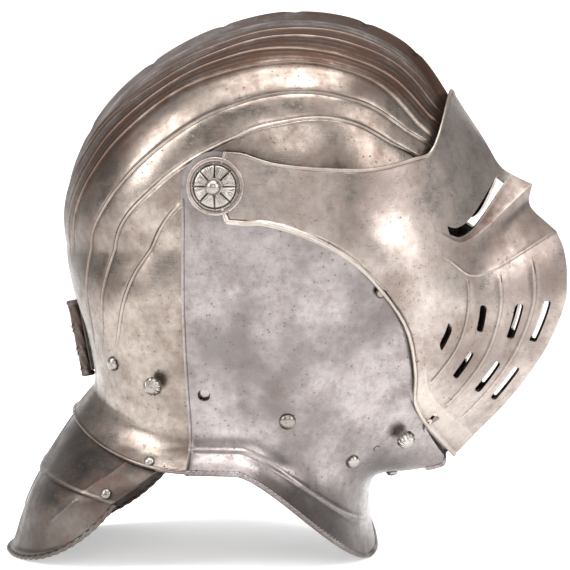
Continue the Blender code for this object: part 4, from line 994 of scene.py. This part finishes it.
SKULL_CATCH = [seat_at(neck_point, CROWN_REACH, place) for place in
               ((-0.6027, -0.9500), (-0.3409, -1.0282), (-0.0909, -1.0791))]
BEVOR_CATCH = [seat_at(bevor_point, FACE_REACH, place) for place in
               ((0.3419, -0.7951), (0.4744, -0.7227), (0.5532, -0.6655))]
CATCH_HOLE = 0.0038
visor_steel = old_steel("visor_patinated_steel", "A69D97", "766D68", "6A574D", "5E3528", 0.10, 0.26,
                        0.85)
bevor_steel = old_steel("bevor_patinated_steel", "999392", "666160", "60554F", "5A3626", 0.10, 0.25,
                        0.6)
visor_points, visor_relief, visor_holes, visor_tint = visor_grid()
stud_point, stud_way = BEVOR_CATCH[2]
visor = plate("visor_plate", visor_points, visor_relief, VISOR_PLATE, visor_holes,
              ((stud_point, stud_way, CATCH_HOLE),), tint=visor_tint)
finish(visor, "visor", ["visor"], visor_steel)
bevor_points, bevor_relief, bevor_tint = bevor_grid()
bevor = plate("bevor_plate", bevor_points, bevor_relief, BEVOR_PLATE, (),
              ((SKULL_CATCH[2][0], SKULL_CATCH[2][1], CATCH_HOLE),), tint=bevor_tint)
finish(bevor, "bevor", ["bevor"], bevor_steel)

# Nape lames: two narrow plates riveted under the skull's flange, dark and rusted, with bevelled
# edges. Each is tucked under the plate over it, and the last spreads over the back of the neck.
LAME_GAP = 0.0008
LAME_TUCK = 3 / 8
LAME_CREASE_WIDTH = 0.0009
STRIP_RISE, STRIP_HALF, STRIP_FOOT = 0.0009, 0.0036, 0.0048
DISH_DEPTH, DISH_HALF = 0.0018, 0.020
LAME_EDGES = {
    "nape_lame_upper": {"tuck": 0.88, "leave": 0.985, "from": 0.36, "to": 0.40,
                        "side_x": -0.5836, "side_y": 0.8700, "side_z": 0.0395,
                        "x": -1.1218, "z": 0.0516, "full": 2.00, "round": 2.00, "drop": 1.50},
    "nape_lame_lower": {"tuck": 0.625, "leave": 0.97, "from": 0.00, "to": 0.00,
                        "side_x": -0.5655, "side_y": 0.8450, "side_z": 0.0380,
                        "x": -1.3045, "z": 0.0002, "full": 2.10, "round": 2.00, "drop": 2.60},
}


@functools.lru_cache(maxsize=None)
def lame_tuck(name, u, share):
    """Point of a lame where it lies under its cover."""
    edge = LAME_EDGES[name]
    upper = name == "nape_lame_upper"
    over, over_plate = (neck_point, SKULL_PLATE) if upper else (upper_lame_point, LAME_PLATE)
    start = edge["from"] + (edge["to"] - edge["from"]) * share
    across = start + (1 - start) * u
    place = edge["tuck"] + (edge["leave"] - edge["tuck"]) * share
    inward = outward_at(over, across, place) * (over_plate + LAME_GAP)
    if u >= 1:
        inward.y = 0.0
    return over(across, place) - inward


def lame_point(name, u, v):
    """Row v of a lame: tucked under the plate that covers it, then out to a free edge."""
    edge = LAME_EDGES[name]
    if v <= LAME_TUCK:
        return lame_tuck(name, u, v / LAME_TUCK)
    leave = lame_tuck(name, u, 1.0)
    x = PIVOT_X + CROWN_REACH * (edge["side_x"] + (edge["x"] - edge["side_x"]) * u)
    y = SKULL_HALF_WIDTH * edge["side_y"] * max(0.0, 1 - u ** edge["full"]) ** (1 / edge["round"])
    fall = 1 - (1 - u) ** edge["drop"]
    end = Vector((x, -y, edge["side_z"] + (edge["z"] - edge["side_z"]) * fall))
    end_way = end - leave
    way = (leave - lame_tuck(name, u, 0.8)).normalized() * end_way.length
    t = (v - LAME_TUCK) / (1 - LAME_TUCK)
    return ((1 + 2 * t) * (1 - t) ** 2 * leave + t * (1 - t) ** 2 * way
            + t * t * (3 - 2 * t) * end + t * t * (t - 1) * end_way)


@functools.lru_cache(maxsize=None)
def upper_lame_point(u, v):
    return lame_point("nape_lame_upper", u, v)


def lower_lame_point(u, v):
    return lame_point("nape_lame_lower", u, v)


def lame_grid(point_of, crease, strip, flutes):
    """Grid of a lame: bevelled free edge, a bright crease down its side, a raised strip or flutes
    down the middle of the back."""
    across = [math.sin(math.pi / 2 * k / 60) for k in range(52)]
    across += [1 - (1 - across[-1]) * (1 - k / 34) ** 1.6 for k in range(1, 35)]
    downs = [LAME_TUCK * k / 4 for k in range(4)]
    downs += [LAME_TUCK + (1 - LAME_TUCK) * k / 44 for k in range(45)]
    points, relief = [], []
    for v in downs:
        row = [point_of(u, v) for u in across]
        free = max((v - LAME_TUCK) / (1 - LAME_TUCK), 0.0)
        # The relief paints highlight on the raised parts and shade in grooves, hollow and edge
        heights = []
        for point in row:
            lift = 0.0004 * ramp(free, 0.88, 0.94) - 0.0006 * ramp(free, 0.965, 1.0)
            lift += CREASE_RISE * bell(off_line(point, crease), LAME_CREASE_WIDTH)
            beside = abs(point.y)
            lift += STRIP_RISE * strip * (1 - ramp(beside, STRIP_HALF, STRIP_FOOT))
            end = 1 - ramp(free, 0.62 - beside * 9.0, 0.68 - beside * 9.0)
            for y in flutes:
                lift += end * (0.0006 * bell(beside - y, 0.0009)
                               - 0.0003 * bell(beside - y - 0.0022, 0.0008))
            if flutes:
                lift -= DISH_DEPTH * bell(point.y, DISH_HALF) * bell(free - 0.82, 0.12)
            heights.append(lift)
        points.append([list(point) for point in row])
        relief.append(heights)
    return np.array(points), np.array(relief)


lame_steel = old_steel("lame_dark_steel", "66605C", "45403D", "57423A", "6A412E", 0.22, 0.30, 0.9)
UNDER = (PIVOT_X, 0.0, -PIVOT_Z)
for name, point_of, crease, strip, flutes in (
        ("nape_lame_upper", upper_lame_point, ((-0.511, -1.455), (-0.765, -1.633)), 1.0, ()),
        ("nape_lame_lower", lower_lame_point, ((-0.779, -1.653), (-0.924, -1.781)), 0.0,
         (0.0, 0.006, 0.012, 0.019))):
    lame_points, lame_relief = lame_grid(point_of, crease, strip, flutes)
    lame = plate(name + "_plate", lame_points, lame_relief, LAME_PLATE, inside=UNDER)
    finish(lame, name, [name], lame_steel)

# Roped edges: the flange of the bevor and the tail of the last lame are turned over a wire and
# filed into a rope. A plain rolled rim stiffens the flange of the skull.
ROPE_SIDES = 12


def rope(name, point_of, radius, pitch, cut, body, material):
    """Turned edge along v = 1 of a plate, filed into strands, mirrored over the middle."""
    count = 700 if cut else 160
    us = [math.sin(math.pi / 2 * k / count) for k in range(count + 1)]
    path = []
    for u in us:
        edge = point_of(u, 1.0)
        inward = (point_of(u, 0.97) - edge).normalized()
        centre = edge + inward * radius * 0.8
        centre.z = max(centre.z, radius)
        if u >= 1:
            centre.y = 0.0
        path.append((centre, inward))
    form = bmesh.new()
    bmesh.ops.create_grid(form, x_segments=count, y_segments=ROPE_SIDES, size=1.0)
    form.verts.ensure_lookup_table()
    shade_highlight_and_wear = form.verts.layers.float.new("shade_highlight_and_wear")
    form.verts.layers.float.new("shade")
    run = 0.0
    for i, (centre, inward) in enumerate(path):
        before, after = path[max(i - 1, 0)][0], path[min(i + 1, count)][0]
        run += (centre - before).length
        along = (after - before).normalized()
        if us[i] >= 1:
            along = Vector((0.0, 1.0, 0.0))
        up = along.cross(inward).normalized()
        flat = up.cross(along).normalized()
        for j in range(ROPE_SIDES + 1):
            turn = 2 * math.pi * j / ROPE_SIDES
            wave = math.cos(2 * math.pi * run / pitch + 2 * turn) if cut else 1.0
            dip = cut * (1 - wave) / 2
            ray = (flat * math.cos(turn) + up * math.sin(turn)) * (radius - dip)
            vert = form.verts[j * (count + 1) + i]
            vert.co = centre + ray
            # Painted shade in the cuts between the strands
            vert[shade_highlight_and_wear] = 0.15 - 0.40 * (dip / cut) ** 2 if cut else 0.05
    bmesh.ops.mirror(form, geom=form.verts[:] + form.edges[:] + form.faces[:], axis="Y",
                     matrix=Matrix.Identity(4), merge_dist=0.00002)
    bmesh.ops.remove_doubles(form, verts=form.verts[:], dist=0.00001)
    rims = [edge for edge in form.edges if edge.is_boundary]
    bmesh.ops.holes_fill(form, edges=rims, sides=0)
    bmesh.ops.recalc_face_normals(form, faces=form.faces)
    mesh = mesh_of(name, form)
    inside_box(mesh)
    mesh.shade_smooth()
    thing = placed(name, mesh)
    finish(thing, body, [], material)


rope("bevor_flange_rope", bevor_neck_point, 0.0015, 0.0031, 0.00035, "bevor",
     bevor_steel)
rope("lower_lame_rope", lower_lame_point, 0.0017, 0.0060, 0.00040, "nape_lame_lower",
     lame_steel)
rope("skull_flange_rim", neck_point, 0.0010, 0.0030, 0.0, "skull", skull_steel)

# Pivots: a steel bolt with a ball head over a chased rosette of eight petals, on a flat disc of
# the visor with a raised rim. One on each side carries visor and bevor.
BOLT_RADIUS, BALL_RADIUS, FIT = 0.0032, 0.0046, 0.0003
ROSETTE_RADIUS, ROSETTE_RISE, PETALS = 0.0130, 0.0024, 8
PETAL_CUT, PETAL_LINE = 0.0009, 0.0003
VISOR_BOSS_RADIUS, BEVOR_BOSS_RADIUS, BOSS_PROUD = 0.0165, 0.0195, 0.0001
ROSETTE_FOOT = VISOR_HALF_WIDTH + BOSS_PROUD + FIT


def lathe(name, profile, steps, at, outward, shape=None):
    """Solid turned about its own axis from (radius, height), with an optional change of form:
    shape takes radius, height and turn, and gives the new radius, height and a value for the
    steel: below nought it paints shade, above it paints highlight and wear."""
    form = bmesh.new()
    shade_highlight_and_wear = form.verts.layers.float.new("shade_highlight_and_wear")
    form.verts.layers.float.new("shade")
    verts = [form.verts.new((radius, 0.0, height)) for radius, height in profile]
    edges = [form.edges.new(pair) for pair in zip(verts, verts[1:])]
    bmesh.ops.spin(form, geom=verts + edges, cent=(0, 0, 0), axis=(0, 0, 1), dvec=(0, 0, 0),
                   angle=2 * math.pi, steps=steps, use_merge=True)
    bmesh.ops.remove_doubles(form, verts=form.verts[:], dist=0.000005)
    if shape:
        for vert in form.verts:
            radius = math.hypot(vert.co.x, vert.co.y)
            turn = math.atan2(vert.co.y, vert.co.x)
            new, height, light_and_wear = shape(radius, vert.co.z, turn)
            if radius > 0:
                vert.co.x, vert.co.y = new * math.cos(turn), new * math.sin(turn)
            vert.co.z = height
            vert[shade_highlight_and_wear] = light_and_wear
    bmesh.ops.recalc_face_normals(form, faces=form.faces)
    mesh = mesh_of(name, form)
    mesh.transform(Matrix.Translation(at) @ outward.to_track_quat("Z", "Y").to_matrix().to_4x4())
    mesh.shade_smooth()
    mesh.set_sharp_from_angle(angle=math.radians(50))
    thing = placed(name, mesh)
    return thing


def petals(radius, height, turn):
    """Eight petals, each with a double line down its middle, inside a groove and a rim."""
    inner, outer = BALL_RADIUS * 0.95, ROSETTE_RADIUS * 0.90
    share = min(max((radius - inner) / (outer - inner), 0.0), 1.0)
    if height < 0.0005 or radius < inner:
        return radius, height, 0.0
    phase = (turn * PETALS / (2 * math.pi)) % 1.0
    off = abs(phase - 0.5) * 2
    tip = math.sqrt(max(0.0, 1 - off * off))
    within = 1 - ramp(share, 0.72 + 0.18 * tip, 0.80 + 0.20 * tip)
    edge = bell((1 - off) * radius * 0.39, 0.00045)
    line = bell(off * radius * 0.39 - 0.0006, 0.0003) * within * ramp(share, 0.0, 0.2)
    groove = bell(radius - ROSETTE_RADIUS * 0.93, 0.00035)
    belly = 0.0007 * within * (1 - off ** 2) * (4 * share * (1 - share)) ** 0.5
    cut = PETAL_CUT * edge + PETAL_LINE * line + PETAL_CUT * groove
    # Painted highlight down each petal's middle, painted shade in the cuts
    return radius, height + belly * 0.5 - cut, 0.25 * within * (1 - off) - 300 * cut


def arc(radius, rise, foot, count):
    """Profile of a domed head from its crown down to the height foot."""
    return [(radius * math.sin(math.pi / 2 * k / count),
             foot + rise * math.cos(math.pi / 2 * k / count)) for k in range(count + 1)]


bright_steel = old_steel("fittings_bright_steel", "A8A39E", "76716C", "6C6760", "5F4028", 0.08,
                         0.22, 0.3)
for word, side in (("right", -1), ("left", 1)):
    way = Vector((0.0, side, 0.0))
    at = Vector((PIVOT_X, side * ROSETTE_FOOT, PIVOT_Z))
    inner = BOLT_RADIUS
    rises = [inner + (ROSETTE_RADIUS - inner) * k / 34 for k in range(35)]
    crown = [(radius, 0.0010 + (ROSETTE_RISE - 0.0010) * (1 - ((radius - inner)
              / (ROSETTE_RADIUS - inner)) ** 2.4)) for radius in rises]
    crown += [(ROSETTE_RADIUS + 0.0001, 0.0007), (ROSETTE_RADIUS, 0.0), (inner, 0.0),
              (inner, crown[0][1])]
    rosette = lathe("pivot_rosette_chased_" + word, crown, 192, at, way, petals)
    finish(rosette, "bevor", ["pivot_rosette_" + word], bright_steel)
    ball = ROSETTE_RISE + FIT + BALL_RADIUS * 0.8
    profile = [(BALL_RADIUS * math.sin(turn), ball + BALL_RADIUS * math.cos(turn)) for turn in
               [math.radians(8 * k) for k in range(17)]]
    collar = ROSETTE_RISE + 0.0008
    profile += [(BALL_RADIUS * 0.98, collar + 0.0002), (BALL_RADIUS * 1.04, collar),
                (BALL_RADIUS, ROSETTE_RISE), (BOLT_RADIUS * 0.98, ROSETTE_RISE - 0.0004),
                (BOLT_RADIUS * 0.98, -0.0075), (BOLT_RADIUS * 1.5, -0.0080),
                (BOLT_RADIUS * 1.2, -0.0095), (0.0, -0.0098)]
    bolt = lathe("pivot_ball_" + word, profile, 48, at, way)
    finish(bolt, "bevor", ["pivot_bolt_" + word], bright_steel)
    hole = BOLT_RADIUS + FIT
    for label, body, slot, half, wall, radius, metal in (
            ("visor_pivot_disc_", "visor", "visor_plate", VISOR_HALF_WIDTH, VISOR_PLATE,
             VISOR_BOSS_RADIUS, visor_steel),
            ("bevor_pivot_disc_", "bevor", "bevor_plate", BEVOR_HALF_WIDTH, BEVOR_PLATE,
             BEVOR_BOSS_RADIUS, bevor_steel)):
        rim = [(hole, BOSS_PROUD), (radius - 0.0034, BOSS_PROUD), (radius - 0.0028, BOSS_PROUD)]
        if body == "visor":
            rim += [(radius - 0.0014 * (1 + math.cos(turn)),
                     BOSS_PROUD + BORDER_RISE * math.sin(turn))
                    for turn in [math.pi * k / 10 for k in range(11)]]
        else:
            rim += [(radius, BOSS_PROUD)]
        rim += [(radius, -wall), (hole, -wall), (hole, BOSS_PROUD)]
        disc = lathe(label + word, rim, 96, Vector((PIVOT_X, side * half, PIVOT_Z)), way)
        finish(disc, body, [], metal)

# Rivets: forged with domed heads, bright where hands and cloth rub them, one pair for each lame
# joint, one in each cheek, one under the chin and one at the foot of each catch.
LAME_RIVET, CHEEK_RIVET, LEAF_RIVET, CHIN_RIVET = 0.0031, 0.0048, 0.0042, 0.0035
RIVET_SHANK = 0.0018


def rivet(node, body, at, outward, head, through, lift=0.0002, rise=0.62):
    profile = arc(head, head * rise, lift + 0.0004, 10) + [(head * 1.01, lift), (head * 0.9, lift)]
    profile += [(RIVET_SHANK, lift), (RIVET_SHANK, -through), (RIVET_SHANK * 1.6, -through),
                (RIVET_SHANK * 1.2, -through - 0.0010), (0.0, -through - 0.0012)]

    def light_and_wear(radius, height, turn):
        return radius, height, 0.30 * bell(radius, head * 0.5) if height > lift else 0.0

    thing = lathe(node + "_head", profile, 32, at, outward, light_and_wear)
    finish(thing, body, [node], bright_steel)


def pair(place):
    point, outward = place
    flip = Vector((1.0, -1.0, 1.0))
    return (("right", point, outward), ("left", point * flip, outward * flip))


UPPER_PIN = seat(neck_point, PIVOT_X - 0.3882 * CROWN_REACH, FLANGE_SIDE_Z + 0.0050)
LOWER_PIN = seat(upper_lame_point, PIVOT_X - 0.6109 * CROWN_REACH, FLANGE_SIDE_Z - 0.0135)
for word, point, outward in pair(UPPER_PIN):
    rivet("nape_rivet_upper_" + word, "skull", point, outward, LAME_RIVET, 0.0042, 0.0004)
for word, point, outward in pair(LOWER_PIN):
    rivet("nape_rivet_lower_" + word, "nape_lame_upper", point, outward, LAME_RIVET, 0.0040, 0.0004)
for word, point, outward in pair(seat_at(bevor_point, FACE_REACH, (0.1808, -0.6621))):
    rivet("cheek_rivet_" + word, "bevor", point, outward, CHEEK_RIVET, BEVOR_PLATE + 0.0002)
chin, chin_way = seat_at(bevor_point, FACE_REACH, (0.4276, -0.8567))
chin.y, chin_way.y = 0.0, 0.0
rivet("chin_rivet", "bevor", chin, chin_way.normalized(), CHIN_RIVET, BEVOR_PLATE + 0.0006)

FLUSH_GROOVE = 0.0004


def flush(name, body, slot, at, outward, head, material):
    """Rivet filed flush with the plate, seen as a fine ring of painted shade in a shallow groove.
    """
    profile = [(0.0, 0.00028), (head * 0.6, 0.00026), (head - FLUSH_GROOVE, 0.00020),
               (head - FLUSH_GROOVE * 0.7, 0.00004), (head, 0.00002), (head, -0.0012),
               (0.0, -0.0012)]

    def ringed(radius, height, turn):
        return radius, height, -0.8 if radius > head - FLUSH_GROOVE * 1.1 else 0.1

    finish(lathe(name, profile, 40, at, outward, ringed), body, [], material)


def visor_seat(u, v):
    return visor_point(15 * (1 - v), u)


flush("visor_flush_rivet_right", "visor", "visor_plate",
      *seat_at(visor_seat, FACE_REACH, (0.437, -0.304)), 0.0030, visor_steel)
flush("bevor_flush_rivet_right", "bevor", "bevor_plate",
      *seat_at(bevor_point, FACE_REACH, (0.407, -0.761)), 0.0022, bevor_steel)

# Spring catches on the wearer's right: a steel leaf riveted inside the plate carries a knob that
# is pressed, fluted in a swirl, and a stud that locks in the hole of the plate over it.
KNOB_RADIUS, KNOB_SHANK, KNOB_STANDOFF, STUD_RADIUS = 0.0056, 0.0022, 0.0032, 0.0032
LEAF_WIDTH, LEAF_THICK, CATCH_CLEAR, LEAF_SAG = 0.0080, 0.0012, 0.0008, 0.0014
KNOB_FLUTES = 12
KNOB_CUT = 0.00045


def swirl(radius, height, turn):
    """Shallow flutes that wind over the knob from its crown to its rim."""
    if height < KNOB_STANDOFF * 0.9 or radius < 0.0008:
        return radius, height, 0.0
    wave = math.cos(KNOB_FLUTES * (turn + radius / KNOB_RADIUS * 0.9))
    share = ramp(radius, KNOB_RADIUS * 0.15, KNOB_RADIUS * 0.8)
    cut = KNOB_CUT * share * (1 - wave) / 2
    # Painted shade in the flutes, a faint painted highlight between them
    return radius - cut, height - cut * 0.6, 0.20 - 900 * cut


def leaf(name, point_of, wall, places):
    """Spring leaf: a strip along the inside of its plate, bowed between its ends."""
    first, last = places[0][0], places[2][0]
    way = Vector((last.x - first.x, 0.0, last.z - first.z))
    across = Vector((-way.z, 0.0, way.x)).normalized() * LEAF_WIDTH / 2
    over = way.normalized() * LEAF_WIDTH * 0.6
    start = Vector((first.x, 0.0, first.z)) - over
    whole = way + over * 2
    form = bmesh.new()
    bmesh.ops.create_grid(form, x_segments=20, y_segments=4, size=1.0)
    for vert in form.verts:
        share = (vert.co.x + 1) / 2
        point, outward = seat(point_of, *(start + whole * share + across * vert.co.y).xz)
        vert.co = point - outward * (wall + CATCH_CLEAR + LEAF_SAG * math.sin(math.pi * share))
    form.normal_update()
    if sum(face.normal.y for face in form.faces) > 0:
        bmesh.ops.reverse_faces(form, faces=form.faces)
    mesh = mesh_of(name, form)
    thing = placed(name, mesh)
    wall = thing.modifiers.new("thickness", "SOLIDIFY")
    wall.thickness = LEAF_THICK
    wall.offset = -1.0
    return thing


for name, body, point_of, wall, places in (
        ("skull_catch", "skull", neck_point, SKULL_PLATE, SKULL_CATCH),
        ("bevor_catch", "bevor", bevor_point, BEVOR_PLATE, BEVOR_CATCH)):
    foot = wall + CATCH_CLEAR + LEAF_SAG
    rivet(name + "_rivet", body, *places[0], LEAF_RIVET, foot + LEAF_THICK)
    strip = leaf(name + "_leaf", point_of, wall, places)
    finish(strip, name, [name], bright_steel)
    knob = [(radius, height + KNOB_STANDOFF) for radius, height
            in arc(KNOB_RADIUS, KNOB_RADIUS * 0.9, KNOB_RADIUS * 0.35, 16)]
    knob += [(KNOB_RADIUS * 0.98, KNOB_STANDOFF + 0.0010), (KNOB_RADIUS * 0.8, KNOB_STANDOFF),
             (KNOB_SHANK * 1.5, KNOB_STANDOFF - 0.0002), (KNOB_SHANK, KNOB_STANDOFF - 0.0008),
             (KNOB_SHANK, -foot), (0.0, -foot)]
    button = lathe(name + "_knob", knob, 144, *places[1], swirl)
    finish(button, name, [], bright_steel)
    stud = arc(STUD_RADIUS, 0.0004, 0.0, 6) + [(STUD_RADIUS, -foot), (0.0, -foot)]
    finish(lathe(name + "_stud", stud, 32, *places[2]), name, [], bright_steel)

# Plume holder: a tube of sheet steel rolled and filed with slanting grooves, ringed at its foot
# and middle, with a flared mouth, on a plate riveted to the nape.
PLUME_TOP_RADIUS, PLUME_LOW_RADIUS, PLUME_BORE, PLUME_LENGTH = 0.0050, 0.0043, 0.0033, 0.0460
PLUME_BACKING = (0.0130, 0.0012, 0.0400)
PLUME_STANDOFF = 0.0008
PLUME_PLACES = ((-0.9155, -0.6809), (-0.8155, -1.0627))


def plume_wall(share):
    """Outer radius of the tube at a share of its length from the foot, rings included."""
    radius = PLUME_LOW_RADIUS + (PLUME_TOP_RADIUS - PLUME_LOW_RADIUS) * share - 0.0006
    for ring in (0.03, 0.09, 0.30, 0.36, 0.60, 0.66, 0.97):
        radius += 0.0007 * bell((share - ring) * PLUME_LENGTH, 0.0009)
    return radius


def plume_cut(radius, height, turn):
    # Painted shade in the bore and in the slanting grooves
    if radius < PLUME_BORE * 1.1:
        return radius, height, -0.1
    wave = math.cos(6 * turn + height * 520)
    return radius - 0.00025 * (1 - wave) / 2, height, 0.15 - 0.25 * (1 - wave) / 2


def plume_holder():
    high, low = (seat_at(neck_point, CROWN_REACH, place)[0] for place in PLUME_PLACES)
    way = (high - low).normalized()
    out = Vector((-way.z, 0.0, way.x))
    middle = (low + high) / 2 + out * (PLUME_STANDOFF + PLUME_BACKING[1] / 2)
    reach = PLUME_BACKING[1] / 2 + (PLUME_LOW_RADIUS + PLUME_BORE) / 2
    profile = [(plume_wall(1 - k / 80), PLUME_LENGTH * (0.5 - k / 80)) for k in range(81)]
    profile += [(PLUME_BORE, -PLUME_LENGTH / 2), (PLUME_BORE, PLUME_LENGTH / 2), profile[0]]
    tube = lathe("plume_tube", profile, 72, middle + out * reach, way, plume_cut)
    finish(tube, "skull", ["plume_holder"], lame_steel)
    form = bmesh.new()
    bmesh.ops.create_cube(form, size=1.0)
    width, thick, height = PLUME_BACKING
    bmesh.ops.scale(form, vec=(thick, width, height), verts=form.verts)
    bmesh.ops.bevel(form, geom=form.edges[:], offset=0.0004, segments=2, profile=0.5,
                    affect="EDGES", material=-1)
    mesh = mesh_of("plume_backing", form)
    mesh.transform(Matrix.Translation(middle)
                   @ Matrix((out, Vector((0.0, 1.0, 0.0)), way)).transposed().to_4x4())
    backing = placed("plume_backing", mesh)
    finish(backing, "skull", [], lame_steel)


plume_holder()
